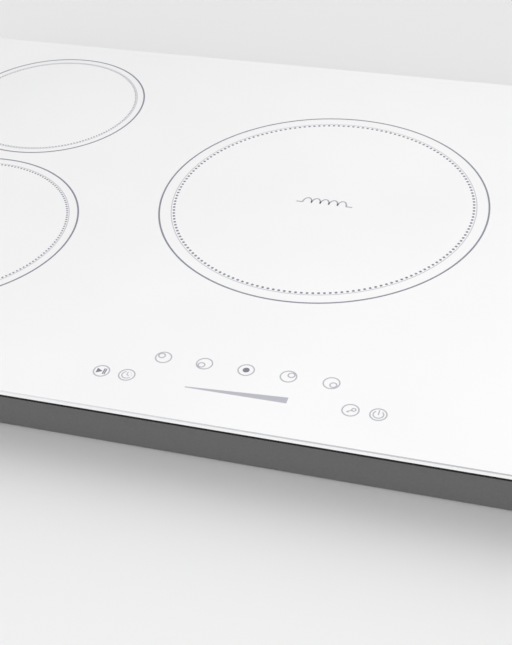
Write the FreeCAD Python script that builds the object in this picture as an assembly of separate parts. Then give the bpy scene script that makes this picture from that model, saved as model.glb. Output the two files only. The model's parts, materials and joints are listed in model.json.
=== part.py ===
import FreeCAD, Part
import math
import os

# Built-in induction cooktop, 90 cm wide, with five cooking zones.
# Frame: millimetres, +Z up, -Y is the front (control) edge, +X is the right.
# The origin is under the centre of the glass, at the level of the tray's underside.

os.makedirs("parts", exist_ok=True)

# ---------------------------------------------------------------- driving dimensions
GLASS_W = 900.0
GLASS_D = 520.0
GLASS_T = 4.0
GLASS_CORNER_R = 8.0
GLASS_FACET = 0.8
HEIGHT = 55.0

TRAY_W = 850.0
TRAY_D = 480.0
TRAY_CORNER_R = 6.0
SHEET = 1.0

SEAL_T = 2.5
SEAL_W = 10.0
SEAL_INSET = 0.9

FRAME_FLANGE = 10.0
FRAME_WEB = 16.0
FRAME_GAP = 0.2
ADHESIVE_T = 0.8

# name, centre x, centre y, radius of the printed ring
ZONES = [
    ("rear_left", -300.0, 140.0, 90.0),
    ("front_left", -300.0, -70.0, 105.0),
    ("centre", 0.0, 27.4, 140.0),
    ("rear_right", 300.0, 140.0, 90.0),
    ("front_right", 300.0, -70.0, 105.0),
]
COIL_MARGIN = 7.0
COIL_INNER_R = 20.0
COIL_T = 4.6
TURN_PITCH = 4.0
TURN_CREST = 0.9
MICA_T = 0.8
MICA_GAP = 0.1
CARRIER_T = 2.0
FERRITE_T = 4.0
FERRITE_W = 12.0
FERRITES_PER_COIL = 8
SPRINGS_PER_COIL = 4
SPRING_T = 0.5
SPRING_W = 8.0
SENSOR_R = 6.5
LEAD_R = 1.4
LEAD_CIRCLE_R = 18.0
LEAD_RUN_Z = 30.0

DECK_TOP = 34.0
DECK_T = 1.5
DECK_HALF_X = 415.0
DECK_HALF_Y = 235.0
DECK_LEG_W = 24.0
DECK_FRONT_LEG_XS = (-380.0, -60.0, 60.0, 380.0)
DECK_REAR_LEG_XS = (-380.0, -130.0, 10.0, 255.0)
DECK_HOLE_R = 26.0

BOARD_Z = 5.0
BOARD_T = 1.6
POWER_BOARD_X = (60.0, 300.0)
POWER_BOARD_Y = (-90.0, 110.0)
SINK_X = 180.0
SINK_W = 60.0
SINK_Y = (-80.0, 90.0)
SINK_TOP = 27.0
FIN_PITCH = 5.0
TRANSISTOR_YS = (-60.0, -20.0, 20.0, 60.0)
TRANSISTOR_T = 5.0
TRANSISTOR_LEG_XS = (-5.4, 0.0, 5.4)
TRANSISTOR_LEG_W = 1.2
TRANSISTOR_LEG_T = 0.8
TALL_PART = 19.0
CHOKE_R = 15.0
CHOKE_WIRE_R = 5.5

FAN_X = 180.0
FAN_Y = -150.0
FAN_SIZE = 96.0
FAN_TOP = 28.0
FAN_INLET_R = 34.0
ROTOR_R = 39.0
ROTOR_BLADES = 28
SHAFT_R = 1.5
RUNNING_GAP = 0.05

FILTER_BOARD_X = (100.0, 275.0)
FILTER_BOARD_Y = (130.0, 220.0)

BOX_X = (278.0, 395.0)
BOX_Y0 = 186.0
BOX_TOP = 28.0
BOX_WALL = 2.0
LID_X = (306.0, 394.0)
LID_HINGE_Y = 242.0
LID_HINGE_Z = 3.0
KNUCKLE_R = 2.0
LID_PIN_R = 0.8
GLAND_X = 293.0
GLAND_Z = 14.0
GLAND_BORE_R = 5.2
FIXED_KNUCKLES = ((312.0, 322.0), (345.0, 355.0), (378.0, 388.0))
LID_KNUCKLES = ((322.5, 344.5), (355.5, 377.5))
TERMINAL_XS = (324.0, 335.0, 346.0, 357.0, 368.0)
TERMINAL_WIRE_Z = 8.0
TERMINAL_WIRE_R = 2.2
TERMINAL_SCREW_YS = (206.0, 216.0)
SADDLE_Y = (210.0, 218.0)
SADDLE_SCREW_REACH = 8.6

CONTROL_X = 132.0
CONTROL_Y = (-234.0, -182.0)
CONTROL_Z = 38.0
CONTROL_FOOT_XS = (-124.0, 0.0, 124.0)
CONTROL_FOOT_YS = (-228.0, -190.0)
RIBBON_X = (62.0, 78.0)
RIBBON_Y = (-206.0, -84.0)
ZONE_KEY_XS = (-64.0, -32.0, 0.0, 32.0, 64.0)
ZONE_KEY_Y = -197.5
SIDE_KEY_XS = (-104.0, -84.0, 84.0, 104.0)
SIDE_KEY_Y = -222.3
SLIDER_X = (-35.0, 35.0)
SLIDER_SEGMENTS = 6
KEY_PAD_R = 4.5
SLIDER_PAD_R = 3.5

NICHE_DEPTH = 20.0
NICHE_Y = (116.0, 184.0)
NICHE_TOP = 24.0
CLAMP_PIVOT_X = 415.0
CLAMP_PIVOT_Y = 172.0
CLAMP_ARM = 52.0
CLAMP_W = 14.0
CLAMP_Z = 13.2
CLAMP_T = 3.0
CLAMP_LIP = 2.8
CLAMP_SCREW_R = 2.5

# length along X, centre x, centre y
FLOOR_BEADS = [
    (200.0, -180.0, 60.0),
    (200.0, 180.0, 60.0),
    (200.0, -180.0, -30.0),
    (200.0, 180.0, -30.0),
    (140.0, -300.0, 160.0),
    (160.0, -90.0, 170.0),
]
BEAD_W = 14.0
FLOOR_SLOTS_PER_SIDE = 14
FLOOR_SLOT_Y = -215.0
REAR_SLOTS_PER_SIDE = 12
REAR_SLOT_Z = (12.0, 26.0)

CASE_SCREW_XS = (-340.0, -120.0, 120.0, 260.0)
CASE_SCREW_YS = (-60.0, 60.0)
CASE_SCREW_Z = 42.0
CASE_SCREW_R = 1.6

# ---------------------------------------------------------------- levels and edges worked out from them
GLASS_BOTTOM = HEIGHT - GLASS_T
SEAL_BOTTOM = GLASS_BOTTOM - SEAL_T
TRAY_TOP = SEAL_BOTTOM
TRAY_X = TRAY_W / 2
TRAY_Y = TRAY_D / 2
FLANGE_TOP = GLASS_BOTTOM - ADHESIVE_T
MICA_TOP = GLASS_BOTTOM - MICA_GAP
COIL_TOP = MICA_TOP - MICA_T
COIL_BOTTOM = COIL_TOP - COIL_T
CARRIER_BOTTOM = COIL_BOTTOM - CARRIER_T
BOARD_TOP = BOARD_Z + BOARD_T
SINK_BASE_Z = BOARD_TOP + TRANSISTOR_T + 0.4
CONTROL_BOARD_Z = CONTROL_Z + 3
CONTROL_BOARD_TOP = CONTROL_BOARD_Z + BOARD_T
SIDES = (("left", -1), ("right", 1))
CORNERS = [(side, end) for side in (-1, 1) for end in (-1, 1)]


# ---------------------------------------------------------------- small helpers
def block(x0, x1, y0, y1, z0, z1):
    """A box between two corners, given in any order along X."""
    low_x = min(x0, x1)
    corner = FreeCAD.Vector(low_x, y0, z0)
    return Part.makeBox(abs(x1 - x0), y1 - y0, z1 - z0, corner)


def post(x, y, z0, z1, radius):
    """An upright round bar."""
    return Part.makeCylinder(radius, z1 - z0, FreeCAD.Vector(x, y, z0))


def pipe(x, y, z0, z1, outer, inner):
    """An upright round tube or flat ring."""
    return post(x, y, z0, z1, outer).cut(post(x, y, z0 - 1, z1 + 1, inner))


def bar_x(x0, x1, y, z, radius):
    """A round bar that lies along X."""
    return Part.makeCylinder(radius, x1 - x0, FreeCAD.Vector(x0, y, z), FreeCAD.Vector(1, 0, 0))


def bar_y(y0, y1, x, z, radius):
    """A round bar that lies along Y."""
    return Part.makeCylinder(radius, y1 - y0, FreeCAD.Vector(x, y0, z), FreeCAD.Vector(0, 1, 0))


def slab(half_x, half_y, z0, z1, corner_r, x=0.0, y=0.0):
    """A flat block with round upright edges."""
    solid = block(x - half_x, x + half_x, y - half_y, y + half_y, z0, z1)
    upright = [e for e in solid.Edges if abs(e.Vertexes[0].Z - e.Vertexes[-1].Z) > 0.5 * (z1 - z0)]
    return solid.makeFillet(corner_r, upright)


def slot(x, y, length, width, z0, z1):
    """A block with round ends that lies along X."""
    half = (length - width) / 2
    body = block(x - half, x + half, y - width / 2, y + width / 2, z0, z1)
    ends = [post(x - half, y, z0, z1, width / 2), post(x + half, y, z0, z1, width / 2)]
    return body.multiFuse(ends).removeSplitter()


def turned(shape, degrees, x, y):
    """A copy turned about an upright line through x, y."""
    copy = shape.copy()
    copy.rotate(FreeCAD.Vector(x, y, 0), FreeCAD.Vector(0, 0, 1), degrees)
    return copy


def edges_at(shape, z):
    """The edges that lie wholly at one level."""
    return [e for e in shape.Edges if all(abs(v.Z - z) < 1e-6 for v in e.Vertexes)]


def wire_run(points, radius):
    """A wire: straight round runs with ball corners."""
    places = [FreeCAD.Vector(*p) for p in points]
    runs = [
        Part.makeCylinder(radius, (b - a).Length, a, b - a)
        for a, b in zip(places, places[1:])
    ]
    balls = [Part.makeSphere(radius, p) for p in places[1:-1]]
    return runs[0].multiFuse(runs[1:] + balls) if len(runs) + len(balls) > 1 else runs[0]


def save(name, shapes):
    """Write one node: one solid, or a group of separate solids."""
    group = shapes if isinstance(shapes, list) else [shapes]
    shape = group[0] if len(group) == 1 else Part.makeCompound(group)
    shape.exportStep("parts/" + name + ".step")


# ---------------------------------------------------------------- glass and what is bonded to it
def glass_top():
    """The ceramic glass plate, with a polished facet round its upper edge."""
    plate = slab(GLASS_W / 2, GLASS_D / 2, GLASS_BOTTOM, HEIGHT, GLASS_CORNER_R)
    plate = plate.makeChamfer(GLASS_FACET, edges_at(plate, HEIGHT))
    return plate.makeChamfer(GLASS_FACET / 2, edges_at(plate, GLASS_BOTTOM))


def glass_seal():
    """The foam gasket between the glass rim and the worktop."""
    half_x = GLASS_W / 2 - SEAL_INSET
    half_y = GLASS_D / 2 - SEAL_INSET
    outer = slab(half_x, half_y, SEAL_BOTTOM, GLASS_BOTTOM, GLASS_CORNER_R)
    inner = slab(half_x - SEAL_W, half_y - SEAL_W, SEAL_BOTTOM - 1, HEIGHT, GLASS_CORNER_R / 2)
    return outer.cut(inner)


def adhesive_and_frame():
    """The angle frame under the glass and the silicone bead that bonds it."""
    half_x = TRAY_X - SHEET - FRAME_GAP
    half_y = TRAY_Y - SHEET - FRAME_GAP
    corner = TRAY_CORNER_R - SHEET
    low = FLANGE_TOP - FRAME_WEB
    outer = slab(half_x, half_y, low, FLANGE_TOP, corner)
    hollow = slab(half_x - SHEET, half_y - SHEET, low - 1, FLANGE_TOP - SHEET, corner - SHEET)
    window = slab(half_x - FRAME_FLANGE, half_y - FRAME_FLANGE, low - 1, HEIGHT, corner / 2)
    frame = outer.cut(hollow).cut(window).cut(Part.makeCompound(case_screw_holes()))
    bead_outer = slab(half_x - 1, half_y - 1, FLANGE_TOP, GLASS_BOTTOM, corner)
    bead_inner = slab(half_x - FRAME_FLANGE + 1, half_y - FRAME_FLANGE + 1, low, HEIGHT, corner / 2)
    return frame, bead_outer.cut(bead_inner)


# ---------------------------------------------------------------- case screws
def case_screw_places():
    """Point on the tray wall and outward direction of each case screw."""
    places = []
    for x in CASE_SCREW_XS:
        places.append((x, -TRAY_Y, FreeCAD.Vector(0, -1, 0)))
        places.append((x, TRAY_Y, FreeCAD.Vector(0, 1, 0)))
    for y in CASE_SCREW_YS:
        places.append((-TRAY_X, y, FreeCAD.Vector(-1, 0, 0)))
        places.append((TRAY_X, y, FreeCAD.Vector(1, 0, 0)))
    return places


def case_screw_holes():
    """Clearance holes through the tray wall and the frame behind it."""
    holes = []
    for x, y, out in case_screw_places():
        start = FreeCAD.Vector(x, y, CASE_SCREW_Z) - out * 4
        holes.append(Part.makeCylinder(CASE_SCREW_R + 0.1, 6, start, out))
    return holes


def case_screws():
    """Pan-head screws that hold the tray to the frame."""
    screws = []
    for x, y, out in case_screw_places():
        wall = FreeCAD.Vector(x, y, CASE_SCREW_Z)
        shank = Part.makeCylinder(CASE_SCREW_R, 6, wall - out * 6, out)
        head = Part.makeCylinder(3.5, 1.8, wall, out)
        rim = [e for e in head.Edges if abs((e.CenterOfMass - wall).dot(out) - 1.8) < 0.01]
        head = head.makeFillet(0.9, rim)
        recess = Part.makeCylinder(1.2, 1.2, wall + out * 0.8, out)
        screws.append(shank.fuse(head).cut(recess))
    return screws


# ---------------------------------------------------------------- base tray
def niche_void(side, end):
    """The open corner pocket that a fixing clamp is folded into."""
    x0 = side * (TRAY_X - NICHE_DEPTH)
    x1 = side * (TRAY_X + 5)
    y0, y1 = sorted((end * NICHE_Y[0], end * NICHE_Y[1]))
    return block(x0, x1, y0, y1, -1, NICHE_TOP)


def niche_skin(side, end):
    """The sheet metal round one clamp pocket."""
    x0 = side * (TRAY_X - NICHE_DEPTH - SHEET)
    x1 = side * (TRAY_X - SHEET / 2)
    y0, y1 = sorted((end * (NICHE_Y[0] - SHEET), end * (NICHE_Y[1] + SHEET)))
    return block(x0, x1, y0, y1, SHEET / 2, NICHE_TOP + SHEET)


def fan_grille(x, y):
    """Parallel inlet slots inside a circle, as cutting bodies."""
    pitch = 8.0
    cuts = []
    for i in range(-3, 4):
        reach = math.sqrt(FAN_INLET_R ** 2 - (i * pitch) ** 2)
        cuts.append(slot(x, y + i * pitch, 2 * reach, 4.4, -1, SHEET + 1))
    return cuts


def outlet_slots():
    """Warm-air slots in the floor near the front, and in the rear wall."""
    cuts = []
    for side in (-1, 1):
        for i in range(FLOOR_SLOTS_PER_SIDE):
            x = side * (60 + 18 * i)
            cuts.append(turned(slot(x, FLOOR_SLOT_Y, 20, 5, -1, SHEET + 1), 90, x, FLOOR_SLOT_Y))
        for i in range(REAR_SLOTS_PER_SIDE):
            x = side * (40 + 16 * i)
            cuts.append(block(x - 4, x + 4, TRAY_Y - 3, TRAY_Y + 1, *REAR_SLOT_Z))
    return cuts


def base_tray():
    """The pressed sheet-metal case that hangs in the worktop cut-out."""
    outer = slab(TRAY_X, TRAY_Y, 0, TRAY_TOP, TRAY_CORNER_R)
    outer = outer.makeFillet(2.4, edges_at(outer, 0))
    inner = slab(TRAY_X - SHEET, TRAY_Y - SHEET, SHEET, HEIGHT, TRAY_CORNER_R - SHEET)
    inner = inner.makeFillet(1.4, edges_at(inner, SHEET))
    tray = outer.cut(inner)
    added = [niche_skin(side, end) for side, end in CORNERS]
    added += [slot(x, y, length, BEAD_W, SHEET / 2, 2 * SHEET) for length, x, y in FLOOR_BEADS]
    tray = tray.multiFuse(added)
    cuts = [slot(x, y, length - 2, BEAD_W - 2, -1, SHEET) for length, x, y in FLOOR_BEADS]
    for side, end in CORNERS:
        x = side * CLAMP_PIVOT_X
        y = end * CLAMP_PIVOT_Y
        cuts.append(niche_void(side, end))
        cuts.append(post(x, y, NICHE_TOP - 1, NICHE_TOP + 2, CLAMP_SCREW_R + 0.2))
    for _, side in SIDES:
        cuts += fan_grille(side * FAN_X, FAN_Y)
    cuts += outlet_slots()
    cuts += case_screw_holes()
    cuts.append(block(LID_X[0] + 3, LID_X[1] - 3, TRAY_Y - 3, TRAY_Y + 1, 1.5, 26))
    cuts.append(bar_y(TRAY_Y - 3, TRAY_Y + 1, GLAND_X, GLAND_Z, 7.0))
    return tray.cut(Part.makeCompound(cuts)).removeSplitter()


# ---------------------------------------------------------------- coil deck
def coil_deck():
    """The aluminium shelf over the electronics that carries the coils."""
    low = DECK_TOP - DECK_T
    deck = slab(DECK_HALF_X, DECK_HALF_Y, low, DECK_TOP, 5)
    half = DECK_LEG_W / 2
    legs = []
    for x in DECK_FRONT_LEG_XS:
        legs.append(block(x - half, x + half, -DECK_HALF_Y, -DECK_HALF_Y + DECK_T, SHEET, DECK_TOP))
    for x in DECK_REAR_LEG_XS:
        legs.append(block(x - half, x + half, DECK_HALF_Y - DECK_T, DECK_HALF_Y, SHEET, DECK_TOP))
    for side in (-1, 1):
        inner = side * (DECK_HALF_X - DECK_T)
        legs.append(block(inner, side * DECK_HALF_X, -half, half, SHEET, DECK_TOP))
    deck = deck.multiFuse(legs)
    cuts = [post(x, y, low - 1, DECK_TOP + 1, DECK_HOLE_R) for _, x, y, _ in ZONES]
    for _, x, y, radius in ZONES:
        for i in range(FERRITES_PER_COIL):
            ray = slot(x + 0.55 * radius, y, 0.35 * radius, 10, low - 1, DECK_TOP + 1)
            cuts.append(turned(ray, (i + 0.5) * 360 / FERRITES_PER_COIL, x, y))
    cuts.append(ribbon_slot(low - 1, DECK_TOP + 1))
    return deck.cut(Part.makeCompound(cuts))


# ---------------------------------------------------------------- one cooking zone
def coil_winding(x, y, outer):
    """One layer of litz turns, drawn as rings that touch."""
    turns = int((outer - COIL_INNER_R) / TURN_PITCH)
    crest = 0.25 * TURN_PITCH
    points = [(COIL_INNER_R, COIL_BOTTOM)]
    for i in range(turns):
        start = COIL_INNER_R + i * TURN_PITCH
        points.append((start, COIL_TOP - TURN_CREST))
        points.append((start + crest, COIL_TOP))
        points.append((start + TURN_PITCH - crest, COIL_TOP))
    end = COIL_INNER_R + turns * TURN_PITCH
    points.append((end, COIL_TOP - TURN_CREST))
    points.append((end, COIL_BOTTOM))
    points.append(points[0])
    outline = Part.makePolygon([FreeCAD.Vector(x + r, y, z) for r, z in points])
    return Part.Face(outline).revolve(FreeCAD.Vector(x, y, 0), FreeCAD.Vector(0, 0, 1), 360)


def lead_places(x, y):
    """Where a coil's two ends come down, on the side towards its power board."""
    if x == 0:
        heading = 0.0
    elif y > 100:
        heading = -90.0
    else:
        heading = 180.0 if x > 0 else 0.0
    return [
        (
            x + LEAD_CIRCLE_R * math.cos(math.radians(heading + offset)),
            y + LEAD_CIRCLE_R * math.sin(math.radians(heading + offset)),
        )
        for offset in (-30, 30)
    ]


def coil_carrier(x, y, outer):
    """The plastic spider under a coil: hub, rim, and a cooling window between each two springs."""
    rim = outer + 3
    carrier = post(x, y, CARRIER_BOTTOM, COIL_BOTTOM, rim)
    former = pipe(x, y, COIL_BOTTOM - 1, COIL_TOP, 16, 14)
    fence = pipe(x, y, COIL_BOTTOM - 1, COIL_BOTTOM + 3, rim, rim - 2)
    carrier = carrier.multiFuse([former, fence])
    cuts = [post(x, y, CARRIER_BOTTOM - 1, COIL_TOP, SENSOR_R + RUNNING_GAP)]
    window = slot(x + 0.62 * outer, y, 0.42 * outer, 9, CARRIER_BOTTOM - 1, COIL_BOTTOM + 1)
    for i in range(SPRINGS_PER_COIL):
        cuts.append(turned(window, (i + 0.5) * 360 / SPRINGS_PER_COIL, x, y))
    for lead_x, lead_y in lead_places(x, y):
        cuts.append(post(lead_x, lead_y, CARRIER_BOTTOM - 1, COIL_BOTTOM + 1, LEAD_R + 0.2))
    return carrier.cut(Part.makeCompound(cuts))


def ferrite_bars(x, y, outer):
    """Radial ferrite bars glued under the carrier, to guide the field."""
    bars = []
    for i in range(FERRITES_PER_COIL):
        bar = block(x + 24, x + outer - 4, y - FERRITE_W / 2, y + FERRITE_W / 2,
                    CARRIER_BOTTOM - FERRITE_T, CARRIER_BOTTOM)
        bars.append(turned(bar, (i + 0.5) * 360 / FERRITES_PER_COIL, x, y))
    return bars


def leaf_springs(x, y, outer):
    """Bent strips that press the coil up against the glass."""
    reach = 0.62 * outer
    top = CARRIER_BOTTOM
    under = [(4, top - SPRING_T), (9, DECK_TOP), (14, DECK_TOP)]
    over = [(14, DECK_TOP + SPRING_T), (9.4, DECK_TOP + SPRING_T), (4.3, top)]
    right_half = under + over
    left_half = [(-u, z) for u, z in reversed(right_half)]
    corners = [FreeCAD.Vector(x + reach - SPRING_W / 2, y + u, z) for u, z in right_half + left_half]
    face = Part.Face(Part.makePolygon(corners + corners[:1]))
    strip = face.extrude(FreeCAD.Vector(SPRING_W, 0, 0))
    return [turned(strip, i * 360 / SPRINGS_PER_COIL, x, y) for i in range(SPRINGS_PER_COIL)]


def temperature_sensor(x, y):
    """The sensor in the hub of a coil; its tip touches the glass."""
    barrel = post(x, y, CARRIER_BOTTOM - 4, COIL_BOTTOM, SENSOR_R)
    flange = post(x, y, COIL_BOTTOM, COIL_BOTTOM + 1, 9)
    tip = post(x, y, COIL_BOTTOM + 1, GLASS_BOTTOM, 4)
    return barrel.multiFuse([flange, tip])


def coil_leads(name, x, y):
    """The two wires from a coil to its power board; those not above a board run under the deck first."""
    wires = []
    start_z = COIL_TOP - 1
    for i, (px, py) in enumerate(lead_places(x, y)):
        if name == "centre":
            foot = (70.0, py)
        elif name.startswith("rear"):
            foot = (px - math.copysign(8, px) - 4 * (1 - 2 * i), 100.0)
        else:
            foot = (px, py)
        points = [(px, py, start_z)]
        if foot != (px, py):
            points += [(px, py, LEAD_RUN_Z), (*foot, LEAD_RUN_Z)]
        points.append((*foot, BOARD_TOP))
        wires.append(wire_run(points, LEAD_R))
    return wires


# ---------------------------------------------------------------- power electronics
def power_board(side):
    """The circuit board of one inverter pair."""
    return block(side * POWER_BOARD_X[0], side * POWER_BOARD_X[1], *POWER_BOARD_Y, BOARD_Z, BOARD_TOP)


def heat_sink(side):
    """A finned aluminium extrusion that lies along the fan's airflow."""
    x0 = side * SINK_X - SINK_W / 2
    x1 = side * SINK_X + SINK_W / 2
    base = block(x0, x1, *SINK_Y, SINK_BASE_Z, SINK_BASE_Z + 3)
    fins = []
    for i in range(int(SINK_W / FIN_PITCH)):
        x = x0 + 1.75 + i * FIN_PITCH
        fins.append(block(x, x + 1.5, *SINK_Y, SINK_BASE_Z + 2, SINK_TOP))
    feet = []
    for x in (x0, x1 - 4):
        feet.append(block(x, x + 4, SINK_Y[0], SINK_Y[0] + 8, BOARD_TOP, SINK_BASE_Z + 1))
        feet.append(block(x, x + 4, SINK_Y[1] - 8, SINK_Y[1], BOARD_TOP, SINK_BASE_Z + 1))
    return base.multiFuse(fins + feet)


def transistor(x, y):
    """One flat switching transistor, with three legs bent down to the board."""
    case = block(x - 8, x + 8, y - 10, y + 10, SINK_BASE_Z - TRANSISTOR_T, SINK_BASE_Z)
    leg_z = SINK_BASE_Z - 3
    leg_top = leg_z + TRANSISTOR_LEG_T
    legs = []
    for offset in TRANSISTOR_LEG_XS:
        x0 = x + offset - TRANSISTOR_LEG_W / 2
        x1 = x0 + TRANSISTOR_LEG_W
        legs.append(block(x0, x1, y + 9.5, y + 14, leg_z, leg_top))
        legs.append(block(x0, x1, y + 14 - TRANSISTOR_LEG_T, y + 14, BOARD_TOP, leg_top))
    return case.multiFuse(legs)


def power_transistors(side):
    """The transistors that are held up against the heat sink."""
    return [transistor(side * SINK_X, y) for y in TRANSISTOR_YS]


def board_components(side):
    """Film capacitors, smoothing cans, choke, relays and plug on one power board."""
    top = BOARD_TOP + TALL_PART
    films = [block(side * 75, side * 107, y - 7, y + 7, BOARD_TOP, top) for y in (-70, -48, -26)]
    cans = [post(side * 250, y, BOARD_TOP, top, 9) for y in (-60, -36, -12)]
    relays = [block(side * 80, side * 100, y - 8, y + 8, BOARD_TOP, BOARD_TOP + 15) for y in (56, 80)]
    plug = block(side * 205, side * 235, 98, 106, BOARD_TOP, BOARD_TOP + 9)
    rounded = [piece.makeFillet(1.0, edges_at(piece, top)) for piece in films + cans]
    return rounded + relays + [plug, choke(side * 255, 55)]


def choke(x, y):
    """A ring core wound with wire, lying on a board."""
    return Part.makeTorus(CHOKE_R, CHOKE_WIRE_R, FreeCAD.Vector(x, y, BOARD_TOP + CHOKE_WIRE_R))


def filter_board():
    """The mains filter board."""
    return block(*FILTER_BOARD_X, *FILTER_BOARD_Y, BOARD_Z, BOARD_TOP)


def filter_components():
    """Common-mode chokes, capacitors and fuse of the mains filter."""
    top = BOARD_TOP + TALL_PART
    films = [block(165, 195, y - 6, y + 6, BOARD_TOP, top) for y in (150, 168)]
    rounded = [film.makeFillet(1.0, edges_at(film, top)) for film in films]
    fuse_y = 205
    fuse_z = BOARD_TOP + 4
    fuse = bar_x(225, 257, fuse_y, fuse_z, 3)
    caps = [bar_x(x, x + 6, fuse_y, fuse_z, 3.6) for x in (225, 251)]
    return rounded + [choke(135, 195), choke(185, 195), fuse.multiFuse(caps)]


def board_standoffs():
    """Short posts that hold the boards off the tray floor."""
    posts = []
    for _, side in SIDES:
        for x in (POWER_BOARD_X[0] + 6, POWER_BOARD_X[1] - 6):
            for y in (POWER_BOARD_Y[0] + 6, POWER_BOARD_Y[1] - 6):
                posts.append(post(side * x, y, SHEET, BOARD_Z, 3))
    for x in (FILTER_BOARD_X[0] + 6, FILTER_BOARD_X[1] - 6):
        for y in (FILTER_BOARD_Y[0] + 6, FILTER_BOARD_Y[1] - 6):
            posts.append(post(x, y, SHEET, BOARD_Z, 3))
    return posts


# ---------------------------------------------------------------- cooling fans
def fan_housing(x, y):
    """The blower case: inlet below, outlet towards the heat sink."""
    half = FAN_SIZE / 2
    outer = slab(half, half, SHEET, FAN_TOP, 12, x, y)
    inner = slab(half - 2, half - 2, SHEET + 2, FAN_TOP - 2, 10, x, y)
    inlet = post(x, y, 0, SHEET + 3, FAN_INLET_R)
    outlet = block(x - 30, x + 30, y + half - 6, y + half + 1, SHEET + 2, FAN_TOP - 2)
    return outer.cut(inner).cut(inlet).cut(outlet)


def fan_rotor(x, y):
    """The blower wheel: hub cup, back plate, forward-curved blades, front ring."""
    plate_z = FAN_TOP - 8
    cup = post(x, y, 8, plate_z + 1.5, 16).cut(post(x, y, 10, plate_z + 2, 14))
    plate = pipe(x, y, plate_z, plate_z + 1.5, ROTOR_R, 14)
    ring = pipe(x, y, 5, 6.5, ROTOR_R, ROTOR_R - 3)
    blades = []
    for i in range(ROTOR_BLADES):
        blade = block(x + ROTOR_R - 11, x + ROTOR_R - 1, y - 0.6, y + 0.6, 5.5, plate_z + 0.5)
        blade = turned(blade, 28, x + ROTOR_R - 1, y)
        blades.append(turned(blade, i * 360 / ROTOR_BLADES, x, y))
    wheel = plate.multiFuse([cup, ring] + blades)
    rim = post(x, y, 0, FAN_TOP, ROTOR_R)
    return wheel.common(rim).cut(post(x, y, 0, FAN_TOP, SHAFT_R + RUNNING_GAP))


def fan_motor(x, y):
    """The motor's stator on the housing roof, with its fixed spindle."""
    stator = post(x, y, 11.5, FAN_TOP - 2, 12.5)
    spindle = post(x, y, 6.5, 12, SHAFT_R)
    return stator.fuse(spindle)


# ---------------------------------------------------------------- mains connection
def terminal_box():
    """The plastic connection box in the rear right corner, open to the rear."""
    left, right = BOX_X
    shell = block(left, right, BOX_Y0, TRAY_Y - SHEET, SHEET, BOX_TOP)
    hollow = block(left + BOX_WALL, right - BOX_WALL, BOX_Y0 + BOX_WALL, TRAY_Y, 3, BOX_TOP - BOX_WALL)
    wire_way = block(325, 372, BOX_Y0 - 1, BOX_Y0 + BOX_WALL + 1, 12, 23)
    heel = block(left - 1, right + 1, TRAY_Y - SHEET - 1.5, TRAY_Y, 0, SHEET + 1.5)
    lip = block(LID_X[0] + 4, LID_X[1] - 4, TRAY_Y - SHEET - 1, LID_HINGE_Y, 1.6, LID_HINGE_Z - 0.2)
    knuckles = [bar_x(x0, x1, LID_HINGE_Y, LID_HINGE_Z, KNUCKLE_R) for x0, x1 in FIXED_KNUCKLES]
    gaps = [bar_x(x0 - 0.3, x1 + 0.3, LID_HINGE_Y, LID_HINGE_Z, KNUCKLE_R + 0.3) for x0, x1 in LID_KNUCKLES]
    box = shell.cut(hollow).cut(wire_way).cut(heel).fuse(lip).cut(Part.makeCompound(gaps))
    return box.multiFuse(knuckles).cut(lid_pin_bore())


def lid_pin_bore():
    """The hole for the hinge pin, as a cutting body along the whole hinge."""
    return bar_x(*LID_X, LID_HINGE_Y, LID_HINGE_Z, LID_PIN_R + RUNNING_GAP)


def terminal_lid():
    """The lid of the connection box: hinged along its lower edge, with a snap tongue and grip ribs."""
    inner_y = TRAY_Y + 0.3
    outer_y = inner_y + 2
    plate = block(*LID_X, inner_y, outer_y, LID_HINGE_Z + KNUCKLE_R + 0.3, 27.5)
    rim = [e for e in plate.Edges if abs(e.CenterOfMass.y - outer_y) < 0.01]
    plate = plate.makeFillet(0.7, rim)
    pieces = []
    for x0, x1 in LID_KNUCKLES:
        pieces.append(bar_x(x0, x1, LID_HINGE_Y, LID_HINGE_Z, KNUCKLE_R))
        pieces.append(block(x0, x1, LID_HINGE_Y - 1.2, LID_HINGE_Y + 0.3, LID_HINGE_Z, LID_HINGE_Z + 4))
    middle = (LID_X[0] + LID_X[1]) / 2
    pieces.append(block(middle - 8, middle + 8, inner_y - 3, inner_y + 1, 23, 24.8))
    for i in range(5):
        x = middle + (i - 2) * 12
        pieces.append(block(x - 1, x + 1, inner_y + 1, outer_y + 0.6, 9, 21))
    return plate.multiFuse(pieces).cut(lid_pin_bore())


def lid_hinge_pin():
    """The steel pin through the lid's hinge."""
    return bar_x(313, 387, LID_HINGE_Y, LID_HINGE_Z, LID_PIN_R)


def terminal_block():
    """The screw terminal strip: a wire hole to the rear and two screw wells for each conductor."""
    body = block(318, 374, 200, 222, 3, 17)
    cuts = []
    for x in TERMINAL_XS:
        cuts += [post(x, y, 10, 18, 3.2) for y in TERMINAL_SCREW_YS]
        cuts.append(bar_y(210, 223, x, TERMINAL_WIRE_Z, TERMINAL_WIRE_R))
    return body.cut(Part.makeCompound(cuts))


def terminal_screws():
    """The screws of the terminal strip and of the cable saddle."""
    screws = []
    for x in TERMINAL_XS:
        for y in TERMINAL_SCREW_YS:
            screw = post(x, y, 10.3, 14.5, 3.0)
            screws.append(screw.cut(block(x - 3, x + 3, y - 0.4, y + 0.4, 13.7, 15)))
    for x, y in saddle_screw_places():
        screws.append(post(x, y, 21.2, 23.2, 2.6).fuse(post(x, y, 4, 21.5, 1.3)))
    return screws


def saddle_screw_places():
    """The two screws of the cable saddle, one each side of the cable."""
    return [(GLAND_X + sign * SADDLE_SCREW_REACH, sum(SADDLE_Y) / 2) for sign in (-1, 1)]


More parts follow.
